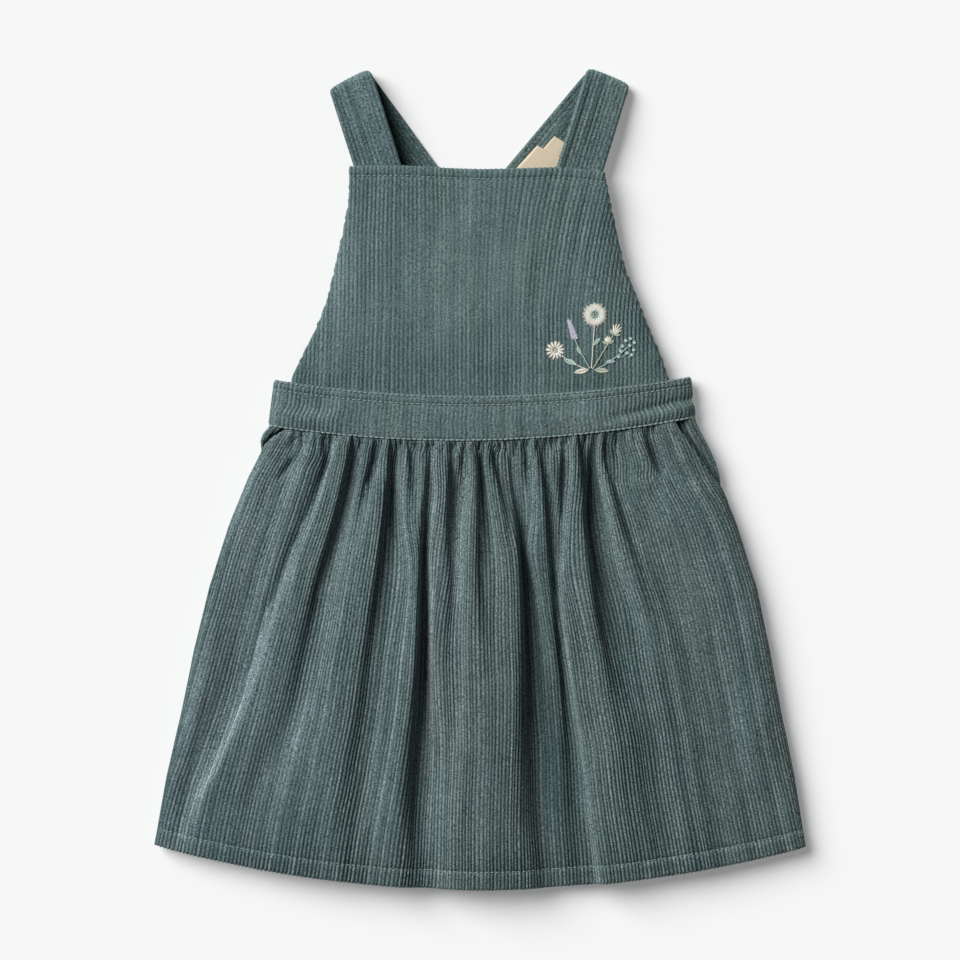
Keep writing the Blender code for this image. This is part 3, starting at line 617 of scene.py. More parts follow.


# where the pile stands higher or lies flatter, and where the cloth is painted lighter or
# darker than over the rest: painted shade on shaded fold floors, painted light on lit patches, and broad tone, in the
# same columns
PILE_SKIRT = (
    (-152.0, -108.0, -26.0, 30.0, 80.0, -0.52),
    (-126.0, -182.0, -20.0, 30.0, 46.0, -0.34),
    (152.0, -122.0, 15.0, 22.0, 62.0, -0.42),
    (106.0, -190.0, 12.0, 32.0, 66.0, 0.55),
    (94.0, -22.0, 20.0, 20.0, 40.0, 0.22),
    (92.0, -108.0, 14.0, 16.0, 50.0, 0.22),
    (0.0, 14.0, 90.0, 15.0, 125.0, 0.38),
    (-126.0, 4.0, -20.0, 22.0, 40.0, -0.25),
    (-20.0, -200.0, 0.0, 30.0, 70.0, 0.14),
    (-80.0, -248.0, 90.0, 12.0, 160.0, 0.34),
    (120.0, -240.0, 90.0, 14.0, 110.0, 0.22),
)
LIGHT_AND_TONE_SKIRT = (
    (-115.0, -20.0, -20.0, 40.0, 70.0, 0.05),
    (122.0, 0.0, 20.0, 26.0, 60.0, -0.01),
    (96.0, -120.0, 12.0, 38.0, 90.0, -0.06),
    (42.0, -120.0, 5.0, 9.0, 78.0, -0.30),
    (50.0, -198.0, 6.0, 13.0, 52.0, -0.34),
    (150.0, -165.0, 14.0, 34.0, 90.0, -0.115),
    (-186.0, -190.0, -10.0, 9.0, 26.0, 0.07),
    (60.0, -130.0, 6.0, 4.5, 60.0, -0.08),
    (108.0, -196.0, 12.0, 20.0, 46.0, -0.04),
    (-160.0, -215.0, -20.0, 50.0, 40.0, -0.05),
    (-198.0, -228.0, 0.0, 24.0, 17.0, 0.22),
    (64.0, -98.0, 6.0, 9.0, 58.0, 0.17),
    (84.0, -186.0, 12.0, 17.0, 50.0, 0.13),
    (-63.0, -148.0, 5.0, 8.0, 70.0, -0.11),
    (-122.0, -192.0, -20.0, 18.0, 26.0, -0.10),
    (-168.0, -135.0, -22.0, 12.0, 40.0, 0.13),
    (0.0, -250.0, 90.0, 46.0, 260.0, -0.035),
    (-130.0, -235.0, 80.0, 26.0, 60.0, -0.07),
    (70.0, -60.0, 4.0, 200.0, 400.0, -0.015),
    (0.0, -60.0, 0.0, 60.0, 90.0, 0.05),
)


_rows = {}


def front_z(x, v):
    """Height of the front skirt's cloth at row v, ribs left out."""
    left, right, z_left, z_right = front_ends(v)
    key = round(float(v), 6)
    if key not in _rows:
        _rows[key] = fold_drop(v)
    xs, folds = _rows[key]
    drop = np.interp(x, xs, folds)
    radius = column(SKIRT, "side_roll", "v", v)
    s = (2.0 * x - left - right) / (right - left)
    crown = column(SKIRT, "crown", "v", v) * (1.0 - np.interp(v, (0.0, 0.1, 0.4), (0.16, 0.24, 0.40)) * s * s)
    rise = np.minimum(roll(x - left, radius * np.interp(v, (0.0, 0.25), (1.0, 0.60))), roll(right - x, radius * np.interp(v, (0.0, 0.25), (1.0, 0.55))))
    z_edge = np.where(s < 0, z_left, z_right)
    pinch = np.interp(v, (0.0, 0.008, 0.03), (0.78, 1.0, 1.0))
    inside = np.clip(np.minimum(x - left, right - x) / 14.0, 0.0, 1.0)
    y = row_y(x, v)
    lump = 0.45 * soft_noise(x, y * 0.35, 5, 34.0) * np.interp(v, (0.0, 0.10, 1.0), (0.0, 1.0, 0.8))
    return z_edge + (crown + lump + spot_sum(x, y, DENTS) - z_edge) * rise - drop * pinch * inside


def line_at(line, v):
    """x where a fold line crosses row v."""
    x = 0.0
    for _ in range(10):
        x = float(line[0](-row_y(x, v)))
    return x


def spread_wales(v, guides, ends, count):
    """x for each wale coordinate in count, spread by the length of the cloth
    between the guide lines (x now, wale coordinate)."""
    left, right = ends
    xs = np.linspace(left, right, 1500)
    zs = front_z(xs, v)
    length = np.concatenate([[0.0], np.cumsum(np.hypot(np.diff(xs), np.diff(zs)))])
    gx = np.array([g[0] for g in guides])
    gm = np.array([g[1] for g in guides])
    gs = np.interp(gx, xs, length)
    s = np.interp(count, gm, gs)
    return np.interp(s, length, xs)


SKIRT_WALES = 188
SKIRT_PITCH = 2.48
# how far the wales lean past an even spread towards the hem, in millimetres to
# the left: at the left side, at the two deepest folds and at the right side
WALE_LEAN = table(
    ("v", "left", "deep_left", "deep_right", "right"),
    (
        (0.38, 0.0, 0.0, 0.0, 0.0),
        (0.53, 2.0, -1.5, -1.0, 0.0),
        (0.68, 6.5, -1.2, -1.0, 0.0),
        (0.76, 10.0, 0.4, 0.4, -0.6),
        (0.84, 13.5, 3.0, 2.2, -1.4),
        (0.93, 16.5, 6.5, 4.6, -3.6),
        (1.00, 18.0, 9.5, 6.5, -6.4),
    ),
)
# fold walls that the wales run beside from the waist down: rises, then falls
BESIDE_RISES = (2, 4, 6, 8, 9, 11, 13, 14)
BESIDE_FALLS = (1, 3, 5, 6, 8, 10, 12, 16)
ROW_V = np.unique(np.round(np.concatenate([
    np.linspace(0.0, 0.03, 7), np.linspace(0.03, 0.16, 22), np.linspace(0.16, 0.45, 26),
    np.linspace(0.45, 0.945, 34), (0.951, 0.9555, 0.959, 0.9615, 0.964, 0.968, 0.976, 0.985, 0.991, 0.9945, 0.997, 0.9988, 1.0),
]), 5))
HEM_V = 0.9605


def hem_shape(v):
    """Extra height along the hem: a doubled edge, a stitched groove, a rolled end."""
    end = (1.0 - v) * 281.0
    z = 0.55 * smooth((v - HEM_V) * 281.0 / 2.0)
    z -= 0.65 * math.exp(-(((v - HEM_V) * 281.0) / 0.9) ** 2)
    z -= 1.5 * (1.0 - float(roll(end, 1.6)))
    return z


def skirt_front():
    # how much of the cloth lies left of the two deepest folds, as a mean over rows
    shares = []
    for v in (0.15, 0.3, 0.5, 0.7, 0.9):
        left, right, _, _ = front_ends(v)
        xs = np.linspace(left, right, 1500)
        zs = front_z(xs, v)
        length = np.concatenate([[0.0], np.cumsum(np.hypot(np.diff(xs), np.diff(zs)))])
        shares.append([np.interp(line_at(c, v), xs, length) / length[-1] for c in (DEEP_LEFT, DEEP_RIGHT)])
    share3, share6 = np.mean(shares, axis=0)
    phases = np.array((0.0, 0.22, 0.5, 0.78))
    m_all = (np.arange(SKIRT_WALES)[:, None] + phases[None, :]).ravel()
    m_all = np.append(m_all, SKIRT_WALES)
    m3, m6 = share3 * SKIRT_WALES, share6 * SKIRT_WALES
    beside = [FOLD_LINES[k] for k in BESIDE_RISES] + [FOLD_LINES[len(RISES) + k] for k in BESIDE_FALLS]
    seen = []
    for v in (0.05, 0.10, 0.16, 0.22):
        left, right, _, _ = front_ends(v)
        xs = np.linspace(left, right, 1500)
        zs = front_z(xs, v)
        length = np.concatenate([[0.0], np.cumsum(np.hypot(np.diff(xs), np.diff(zs)))])
        marks = np.interp((left, line_at(DEEP_LEFT, v), line_at(DEEP_RIGHT, v), right), xs, length)
        seen.append([np.interp(np.interp(line_at(c, v), xs, length), marks, (0.0, m3, m6, SKIRT_WALES)) for c in beside])
    beside_m = np.mean(seen, axis=0)
    grid, uv = [], []
    rib_gain = 1.0 + 0.10 * soft_noise(m_all * 3.1, m_all * 0.0, 9, 9.0)
    # no two wales are quite as wide
    uneven = 0.40 * soft_noise(m_all * SKIRT_PITCH, m_all * 0.0, 19, 10.0, 9) * np.clip(np.minimum(m_all, SKIRT_WALES - m_all) / 12.0, 0.0, 1.0)
    for v in ROW_V:
        left, right, _, _ = front_ends(v)
        wall_left, wall_right = seam_x(v)
        m_left = max(0.0, (left - wall_left) / WALE * 1.1) if v < MOUTH_LEFT["v"][-1] else 0.0
        m_right = SKIRT_WALES - (max(0.0, (wall_right - right) / WALE * 1.1) if v < MOUTH_RIGHT["v"][-1] else 0.0)
        # columns slide a little where a pocket mouth cuts the panel short
        m = np.where(m_all < 30.0, m_left + (30.0 - m_left) * m_all / 30.0, m_all)
        edge = SKIRT_WALES - 30.0
        m = np.where(m_all > edge, edge + (m_right - edge) * (m_all - edge) / 30.0, m)
        guides = ((left, m_left), (line_at(DEEP_LEFT, v), m3), (line_at(DEEP_RIGHT, v), m6), (right, m_right))
        if v > 0.38:
            lean = [float(column(WALE_LEAN, name, "v", v)) / SKIRT_PITCH for name in ("left", "deep_left", "deep_right", "right")]
            inner_marks = (left, left + 2.6, guides[1][0], guides[2][0], right - 2.6, right)
            xs = np.linspace(left, right, 3000)
            zs = front_z(xs, v)
            length = np.concatenate([[0.0], np.cumsum(np.hypot(np.diff(xs), np.diff(zs)))])
            at = np.interp(inner_marks, xs, length)
            even = np.interp(at, (at[0], at[2], at[3], at[5]), (0.0, m3, m6, SKIRT_WALES))
            guides = ((left, 0.0), (left + 2.6, even[1] + lean[0]), (guides[1][0], m3 + lean[1]), (guides[2][0], m6 + lean[2]),
                      (right - 2.6, even[4] + lean[3]), (right, SKIRT_WALES))
        x = spread_wales(v, guides, (left, right), m)
        free = float(smooth((v - 0.18) / 0.34))
        if free < 1.0:
            near = sorted((line_at(c, v), k) for c, k in zip(beside, beside_m))
            kept = [guides[0]]
            for at_x, k in near:
                if at_x > kept[-1][0] + 1.0 and k > kept[-1][1] + 0.8:
                    kept.append((at_x, k))
            kept.append(guides[-1])
            x = x * free + spread_wales(v, kept, (left, right), m) * (1.0 - free)
        x = x + uneven
        z = front_z(x, v) + hem_shape(v)
        y = row_y(x, v)
        grid.append(np.stack([x, y, z], axis=1))
        uv.append(np.stack([m, np.full_like(m, v * 281.0 / WALE)], axis=1))
    base, uv = np.array(grid), np.array(uv)
    # the seam allowance goes in under the waistband
    row_v = np.concatenate([(-0.0065, -0.0015), ROW_V])
    under = base[0] + np.array((0.0, 1.9, 0.0))
    under[:, 2] = np.minimum(base[0, :, 2] - 1.5, 9.2)
    lip = base[0] * 0.6 + under * 0.4
    lip[:, 1] = base[0, :, 1] + 0.25
    lip[:, 2] = base[0, :, 2] * 0.35 + under[:, 2] * 0.65
    base = np.concatenate([[under, lip], base])
    uv = np.concatenate([uv[:1] - (0.0, 0.7), uv[:1] - (0.0, 0.3), uv])
    n = grid_normals(base)
    amp = RIB * np.interp(row_v, (-0.001, 0.0, 0.01, 0.03), (0.15, 0.45, 0.8, 1.0))
    amp = amp * (1.0 - 0.45 * np.exp(-(((row_v - HEM_V) * 281.0) / 0.8) ** 2))
    waver = 1.0 + 0.12 * soft_noise(base[:, :, 0] * 1.0, base[:, :, 1], 31, 23.0)
    standing = pile_field(base[:, :, 0], base[:, :, 1], 0.72, 51, PILE_SKIRT)
    # where the wales crowd together at the sides they are lower as well
    pitch = np.linalg.norm(np.diff(base, axis=1), axis=2) / np.maximum(np.diff(m_all), 1e-6)[None, :]
    pitch = np.concatenate([pitch[:, :1], 0.5 * (pitch[:, 1:] + pitch[:, :-1]), pitch[:, -1:]], axis=1)
    crowd = np.clip(pitch / 1.9, 0.2, 1.0)
    # painted highlight on slopes that face the light, up and to the left, and painted shade on those turned away; the
    # ribs stand out more there too
    from_left, from_right = base[:, :, 0] - base[:, :1, 0], base[:, -1:, 0] - base[:, :, 0]
    within = np.clip(np.minimum(from_left, from_right) / 16.0, 0.0, 1.0)
    toward_light = (n[:, :, 0] * -0.56 + n[:, :, 1] * 0.83) * within * np.interp(row_v, (0.0, 0.1, 0.25, 0.42), (0.25, 0.42, 0.66, 1.0))[:, None]
    toward_light = toward_light * np.interp(base[:, :, 0], (-140.0, -30.0, 40.0, 140.0), (1.04, 0.92, 0.66, 0.70))
    standing = np.clip(standing + 0.30 * np.clip(toward_light * 1.8, 0.0, 1.0), 0.08, 1.35)
    height = rib(uv[:, :, 0]) * rib_gain[None, :] * waver * amp[:, None] * (0.38 + 0.62 * standing) * crowd
    painted_light = 1.0 + spot_sum(base[:, :, 0], base[:, :, 1], LIGHT_AND_TONE_SKIRT)
    painted_light = painted_light * (1.0 + 0.98 * np.clip(toward_light, 0.0, 0.8) ** 1.6 + 0.20 * np.clip(toward_light, -0.8, 0.0))
    # painted shade along the left side's edge and painted light along the right side's edge, lower down the skirt
    lower = smooth((row_v - 0.2) / 0.15)[:, None]
    painted_light = painted_light * (1.0 - 0.34 * lower * np.exp(-from_left / 4.5) + 0.62 * lower * np.exp(-from_right / 4.5))
    pile = np.stack([standing, painted_light], axis=2)
    outer = base + n * height[:, :, None]
    inner = base - n * 1.5
    inner[:, 0], inner[:, -1] = base[:, 0] + (1.3, 0.0, -0.4), base[:, -1] + (-1.3, 0.0, -0.4)
    piece = shell("skirt_front_cloth", outer, inner, 6, 12, CORD_SKIRT, uv, pile=pile)
    keep(piece, ["skirt_front"])
    # the row of hem stitches
    xs = np.linspace(front_ends(HEM_V)[0] + 1.2, front_ends(HEM_V)[1] - 1.2, 900)
    line = np.stack([xs, row_y(xs, HEM_V), front_z(xs, HEM_V) + hem_shape(HEM_V) + 0.42], axis=1)
    return piece, stitches("hem_stitches_front", line, 3.4, 2.4, 0.33)


# ---------------------------------------------------------------- stitches
def polyline_walk(line, distances):
    length = np.concatenate([[0.0], np.cumsum(np.linalg.norm(np.diff(line, axis=0), axis=1))])
    return np.stack([np.interp(distances, length, line[:, k]) for k in range(3)], axis=1), length[-1]


def tube_points(path, radii, sides, flat=1.0):
    """Vertices and faces of a closed tube along path; its ends are points."""
    path = np.asarray(path, float)
    along = np.gradient(path, axis=0)
    along /= np.maximum(np.linalg.norm(along, axis=1, keepdims=True), 1e-9)
    side = np.cross(along, (0.0, 0.0, 1.0))
    side /= np.maximum(np.linalg.norm(side, axis=1, keepdims=True), 1e-9)
    up = np.cross(side, along)
    rings = []
    for k in range(sides):
        a = 2.0 * math.pi * k / sides
        rings.append(path + (side * math.cos(a) + up * math.sin(a) * flat) * np.asarray(radii)[:, None])
    rings = np.array(rings).transpose(1, 0, 2)
    count = len(path)
    points = rings.reshape(-1, 3)
    faces = []
    for i in range(count - 1):
        for k in range(sides):
            a, b = i * sides + k, i * sides + (k + 1) % sides
            faces.append((a, b, b + sides, a + sides))
    caps = []
    first, last = len(points), len(points) + 1
    points = np.concatenate([points, [path[0] - along[0] * radii[0] * 0.5], [path[-1] + along[-1] * radii[-1] * 0.5]])
    for k in range(sides):
        a, b = k, (k + 1) % sides
        caps.append((b, a, first))
        caps.append(((count - 1) * sides + a, (count - 1) * sides + b, last))
    return points, np.array(faces), np.array(caps)


def join_tubes(name, parts, material):
    points, quads, tris, base = [], [], [], 0
    for p, q, t in parts:
        points.append(p)
        quads.append(q + base)
        tris.append(t + base)
        base += len(p)
    return new_object(name, np.concatenate(points), [np.concatenate(quads), np.concatenate(tris)], material)


def stitches(name, line, pitch, length, radius, material=None):
    """Short thread bridges along a line, each sunk at both ends."""
    total = polyline_walk(line, np.zeros(1))[1]
    count = int(total // pitch)
    pitch = total / count
    parts = []
    for k in range(count):
        mid = (k + 0.5) * pitch
        half = length / 2.0 * (1.0 + 0.06 * math.sin(k * 2.3))
        f = np.linspace(-1.0, 1.0, 7)
        path, _ = polyline_walk(line, mid + half * f)
        path[:, 2] += 0.10 - 0.42 * np.abs(f) ** 3
        path[:, 1] += 0.06 * math.sin(k * 1.7)
        radii = radius * (1.0 - 0.45 * np.abs(f) ** 3)
        parts.append(tube_points(path, radii, 6, 0.8))
    piece = join_tubes(name, parts, material or SEWING)
    return keep(piece)


def skirt_back():
    """Underside: flat on the surface, gathered at the waist, turned up at the sides."""
    grid, uv = [], []
    phases = np.array((0.0, 0.25, 0.5, 0.75))
    m_all = np.append((np.arange(SKIRT_WALES)[:, None] + phases[None, :]).ravel(), SKIRT_WALES)
    rows = ROW_V[::2] if len(ROW_V) % 2 else np.append(ROW_V[::2], ROW_V[-1])
    for v in rows:
        left, right = seam_x(v)
        xs = np.linspace(left, right, 1400)

        def z_of(x):
            rise = np.minimum(roll(x - left, 9.0), roll(right - x, 9.0))
            z = (SEAM_Z - 0.15) * (1.0 - rise)
            lift = np.interp(v, (0.0, 0.06, 0.30), (0.5, 1.0, 0.0))
            for at, height in BACK_FOLDS:
                z = z + lift * height * np.exp(-(np.abs(x - at * (right - left) / 273.7) / 9.0) ** 1.6)
            small = 0.5 + 0.5 * np.sin(x / (right - left) * 2.0 * math.pi * 33.0 + 2.0 * np.sin(x / 19.0))
            z = z + 1.1 * small ** 3 * smooth(1.0 - v / 0.20) * np.clip(np.minimum(x - left, right - x) / 14.0, 0.0, 1.0)
            return z

        zs = z_of(xs)
        length = np.concatenate([[0.0], np.cumsum(np.hypot(np.diff(xs), np.diff(zs)))])
        x = np.interp(m_all / SKIRT_WALES * length[-1], length, xs)
        grid.append(np.stack([x, row_y(x, v), np.maximum(z_of(x), 0.0)], axis=1))
        uv.append(np.stack([m_all, np.full_like(m_all, v * 281.0 / WALE)], axis=1))
    base, uv = np.array(grid), np.array(uv)
    n = -grid_normals(base)
    # ribs pressed against the surface: grooves cut in, rib tops at the surface
    depth = (rib(uv[:, :, 0]) - 1.0) * 0.30
    outer = base + n * depth[:, :, None]
    inner = base - n * 1.6
    inner[:, 0], inner[:, -1] = base[:, 0] + (1.4, 0.0, -0.2), base[:, -1] + (-1.4, 0.0, -0.2)
    piece = shell("skirt_back_cloth", outer, inner, 6, 12, CORD_HIDDEN, uv, up=False)
    keep(piece, ["skirt_back"])
    return piece


def pocket(name, node, side, v_mouth, v_end, deep):
    """The self-cloth piece behind a pocket mouth: it swells at the side and
    dips where it goes in under the front panel's edge."""
    grid, uv = [], []
    count = int(deep / WALE)
    d_all = np.append((np.arange(count)[:, None] + np.array((0.0, 0.22, 0.5, 0.78))[None, :]).ravel(), count) * deep / count
    for v in np.linspace(0.0, v_end, 40):
        left, right = seam_x(v)
        edge_l, edge_r, _, _ = front_ends(v)
        gap = edge_l - left if side < 0 else right - edge_r
        if side < 0:
            inset = np.interp(v, (0.0, 0.010, 0.020, 0.037, 0.060, 0.074, 0.11), (0.3, -1.4, -2.5, -2.9, -0.7, 1.4, 3.2))
        else:
            inset = np.interp(v, (0.0, 0.03, 0.06, 0.096, 0.125, 0.137, 0.155, 0.20), (0.3, -0.1, -1.4, -2.2, -1.8, -1.1, 0.8, 3.0))
        if side < 0:
            # a full soft lobe that dips only just before the front panel's edge
            open_here = smooth(gap / 3.0)
            reach = max(gap - inset, 2.5)
            swell = open_here * 5.6 * roll(d_all, 3.0) * (1.0 - smooth((d_all - reach * 0.52) / (reach * 0.60)))
        else:
            open_here = smooth(gap / 6.0)
            swell = open_here * 4.8 * np.exp(-(np.abs(d_all - gap * 0.32) / max(gap * 0.44, 1.6)) ** 2.4)
        z = SEAM_Z + 0.15 + swell + 1.2 * roll(d_all, 9.0) * (1.0 - open_here) - (0.0 if side < 0 else 0.9) * open_here * smooth(d_all / max(gap, 2.0))
        x = left + inset + d_all if side < 0 else right - inset - d_all
        # the wales slant across the piece
        phase = d_all / (deep / count) + v / v_end * (0.3 if side < 0 else 0.6)
        if side > 0:
            x, z, phase = x[::-1], z[::-1], phase[::-1]
        grid.append(np.stack([x, row_y(x, v), z], axis=1))
        uv.append(np.stack([phase, np.full_like(phase, v * 281.0 / WALE)], axis=1))
    base, uv = np.array(grid), np.array(uv)
    # its upper end goes in under the waistband
    under = base[0] + np.array((0.0, 1.7, 0.0))
    over = band_z(base[0, :, 0], BAND_BOTTOM["x_left"], BAND_BOTTOM["x_right"]) - BAND - 0.6
    under[:, 2] = np.minimum(base[0, :, 2] - 1.0, np.maximum(over, 7.3))
    base, uv = np.concatenate([[under], base]), np.concatenate([uv[:1] - (0.0, 0.6), uv])
    n = grid_normals(base)
    outer = base + n * (rib(uv[:, :, 0]) * 0.34)[:, :, None]
    inner = base - n * 1.2
    pile = np.stack([np.full(base.shape[:2], 0.85), np.full(base.shape[:2], 0.92 if side < 0 else 0.84)], axis=2)
    piece = shell(name, outer, inner, 4, 6, CORD_SKIRT, uv, pile=pile)
    return keep(piece, [node])


# --------------------------------------------------------------- waistband
BAND_TOP = dict(x_left=-131.7, y_left=63.2, x_right=135.6, y_right=65.2, sag=11.4)
BAND_BOTTOM = dict(x_left=-135.4, y_left=33.5, x_right=138.3, y_right=38.9, sag=12.2)
BAND_STITCH = (0.035, 0.205, 0.978)
# the pile of the band, and where it is painted lighter or darker: painted light, painted shade and tone, y taken three
# times
PILE_BAND = (
    (-112.0, 135.0, 0.0, 22.0, 90.0, 0.72),
    (112.0, 150.0, 0.0, 30.0, 90.0, 0.74),
    (70.0, 130.0, 0.0, 14.0, 60.0, 0.18),
    (-106.0, 122.0, 0.0, 9.0, 10.0, -0.40),
    (-60.0, 140.0, 0.0, 16.0, 60.0, 0.15),
)
LIGHT_AND_TONE_BAND = (
    (-107.0, 124.0, 0.0, 12.0, 12.0, 0.30),
    (-118.0, 160.0, 0.0, 20.0, 16.0, -0.08),
    (120.0, 168.0, 0.0, 24.0, 20.0, -0.20),
    (120.0, 122.0, 0.0, 20.0, 12.0, 0.06),
    (0.0, 120.0, 0.0, 90.0, 60.0, -0.08),
)


def band_y(edge, x):
    t = (x - edge["x_left"]) / (edge["x_right"] - edge["x_left"])
    return edge["y_left"] + (edge["y_right"] - edge["y_left"]) * t - edge["sag"] * 4.0 * t * (1.0 - t)


def band_z(x, left, right):
    s = (2.0 * x - left - right) / (right - left)
    rise = np.minimum(roll(x - left, 12.0), roll(right - x, 12.0))
    low = SEAM_Z + 0.15
    return low + (BAND_TOP_Z * (1.0 - 0.17 * s * s) - low) * rise


def band_front_z(x, f):
    """Height of the front band with its stitched grooves and soft puffs."""
    left = BAND_TOP["x_left"] + (BAND_BOTTOM["x_left"] - BAND_TOP["x_left"]) * f
    right = BAND_TOP["x_right"] + (BAND_BOTTOM["x_right"] - BAND_TOP["x_right"]) * f
    z = band_z(x, left, right)
    for at, deep in zip(BAND_STITCH, (0.55, 0.55, 0.22)):
        z = z - deep * np.exp(-((f - at) * 30.5 / 1.0) ** 2)
    z = z + 0.30 * np.exp(-((f - 0.12) * 30.5 / 1.8) ** 2)
    z = z + 0.85 * np.exp(-((f - 0.60) / 0.30) ** 2)
    z = z - np.where(np.asarray(f) > 0.5, 0.12, 1.0) * (1.0 - roll(np.minimum(f, 1.0 - f) * 30.5, 0.9)) - 0.45 * smooth((f - 0.88) / 0.12)
    # gathers below push the band's lower half up and down a little
    z = z + 0.28 * soft_noise(x, 0.0 * x, 12, 26.0) * smooth((f - 0.3) / 0.6)
    z = z + 0.9 * bump(x, -112.0, 17.0) * bump(f, 0.68, 0.26)
    # a crease runs down to the right end, and the cloth bulges under it
    line = np.interp(x, (60.0, 83.0, 103.0, 122.0, 137.0), (0.80, 0.74, 0.66, 0.59, 0.58))
    on = smooth((x - 70.0) / 34.0) * smooth((139.0 - x) / 6.0)
    z = z - 1.9 * on * np.exp(-((f - line + 0.05) / 0.085) ** 2) + 1.2 * on * np.exp(-((f - line - 0.17) / 0.13) ** 2)
    return z


def wale_columns(left, right, per_wale=5):
    count = int(math.ceil((right - left) / WALE))
    phases = (0.0, 0.18, 0.40, 0.60, 0.82) if per_wale == 5 else (0.0, 0.22, 0.5, 0.78)
    m = np.append((np.arange(count)[:, None] + np.array(phases)[None, :]).ravel(), count)
    return m, count


def waistband(front=True):
    m, count = wale_columns(-133.6, 137.0)
    grid, uv = [], []
    fs = np.unique(np.concatenate([
        (0.0, 0.008, 0.02, 0.035, 0.05), np.linspace(0.07, 0.18, 5), (0.19, 0.205, 0.22, 0.24),
        np.linspace(0.28, 0.90, 12), (0.925, 0.945, 0.962, 0.978, 0.990, 1.0)]))
    for f in fs:
        left = BAND_TOP["x_left"] + (BAND_BOTTOM["x_left"] - BAND_TOP["x_left"]) * f
        right = BAND_TOP["x_right"] + (BAND_BOTTOM["x_right"] - BAND_TOP["x_right"]) * f
        # the ends are not quite straight: soft corners, and in a little at the crease
        left = left + 1.0 * smooth((f - 0.93) / 0.07) + 1.0 * smooth(1.0 - f / 0.06)
        right = right - 1.1 * math.exp(-((f - 0.58) / 0.11) ** 2) + 0.5 * math.exp(-((f - 0.84) / 0.10) ** 2)
        right = right - 1.4 * smooth((f - 0.93) / 0.07) - 0.8 * smooth(1.0 - f / 0.06)
        # columns bunch where the ends roll over
        xs = np.linspace(left, right, 900)
        rise = np.minimum(roll(xs - left, 12.0), roll(right - xs, 12.0))
        zs = 8.0 * rise
        length = np.concatenate([[0.0], np.cumsum(np.hypot(np.diff(xs), np.diff(zs)))])
        x = np.interp(m / count * length[-1], length, xs)
        if front:
            # the wales kink over to the left near that end, and swing round the
            # puff at the other
            from_left, from_right = x - left, right - x
            kink = smooth(from_left / 5.0) * (1.0 - smooth((from_left - 14.0) / 58.0))
            swing = smooth(from_right / 7.0) * (1.0 - smooth((from_right - 8.0) / 34.0))
            x = x + kink * (1.0 - 2.9 * smooth((f - 0.46) / 0.28)) + swing * (1.6 * math.exp(-((f - 0.74) / 0.16) ** 2) - 0.8 * math.exp(-((f - 0.5) / 0.12) ** 2))
        y = band_y(BAND_TOP, x) * (1.0 - f) + band_y(BAND_BOTTOM, x) * f
        if front:
            z = band_front_z(x, f)
        else:
            rise = np.minimum(roll(x - left, 12.0), roll(right - x, 12.0))
            z = (SEAM_Z - 0.15) * (1.0 - rise)
        grid.append(np.stack([x, y, z], axis=1))
        uv.append(np.stack([m, np.full_like(m, f * 30.5 / WALE)], axis=1))
    base, uv = np.array(grid), np.array(uv)
    n = grid_normals(base)
    if front:
        amp = np.full(len(fs), RIB * 0.95)
        for at in BAND_STITCH:
            amp = amp * (1.0 - 0.5 * np.exp(-((fs - at) * 30.5 / 0.9) ** 2))
        gain = 1.0 + 0.12 * soft_noise(m * 3.0, 0.0 * m, 14, 8.0)
        standing = pile_field(base[:, :, 0], base[:, :, 1] * 3.0, 0.10, 61, PILE_BAND, 0.10)
        amp = amp[:, None] * (0.30 + 0.70 * standing)
        # painted light brightens the band's right end, where its roll turns away from the light
        to_right = base[:, -1:, 0] - base[:, :, 0]
        pile = np.stack([standing, (1.0 + spot_sum(base[:, :, 0], base[:, :, 1] * 3.0, LIGHT_AND_TONE_BAND)) * (1.0 + 0.35 * np.exp(-to_right / 4.0))], axis=2)
        outer = base + n * (rib(uv[:, :, 0]) * amp * gain[None, :])[:, :, None]
        inner = base - n * BAND
    else:
        n = -n
        pile = None
        outer = base + n * ((rib(uv[:, :, 0]) - 1.0) * 0.30)[:, :, None]
        inner = base - n * BAND
    if front:
        inner[:, 0], inner[:, -1] = base[:, 0] + (1.8, 0.0, 0.0), base[:, -1] + (-1.8, 0.0, 0.0)
    else:
        inner[:, 0], inner[:, -1] = base[:, 0] + (1.8, 0.0, 0.0), base[:, -1] + (-1.8, 0.0, 0.0)
    name = "waistband_front_cloth" if front else "waistband_back_cloth"
    piece = shell(name, outer, inner, 4, 10, CORD_BAND if front else CORD_HIDDEN, uv, up=front, pile=pile)
    keep(piece, ["waistband_front" if front else "waistband_back"])
    rows = []
    if front:
        for k, at in enumerate(BAND_STITCH):
            left = BAND_TOP["x_left"] + (BAND_BOTTOM["x_left"] - BAND_TOP["x_left"]) * at + 1.0
            right = BAND_TOP["x_right"] + (BAND_BOTTOM["x_right"] - BAND_TOP["x_right"]) * at - 1.0
            xs = np.linspace(left, right, 800)
            y = band_y(BAND_TOP, xs) * (1.0 - at) + band_y(BAND_BOTTOM, xs) * at
            heavy = k == 2
            line = np.stack([xs, y, band_front_z(xs, at) + (0.72 if heavy else 0.45)], axis=1)
            rows.append(stitches("band_stitches_%d" % (k + 1), line, 3.4, 3.0 if heavy else 2.7, 0.60 if heavy else 0.42))
    return piece, rows


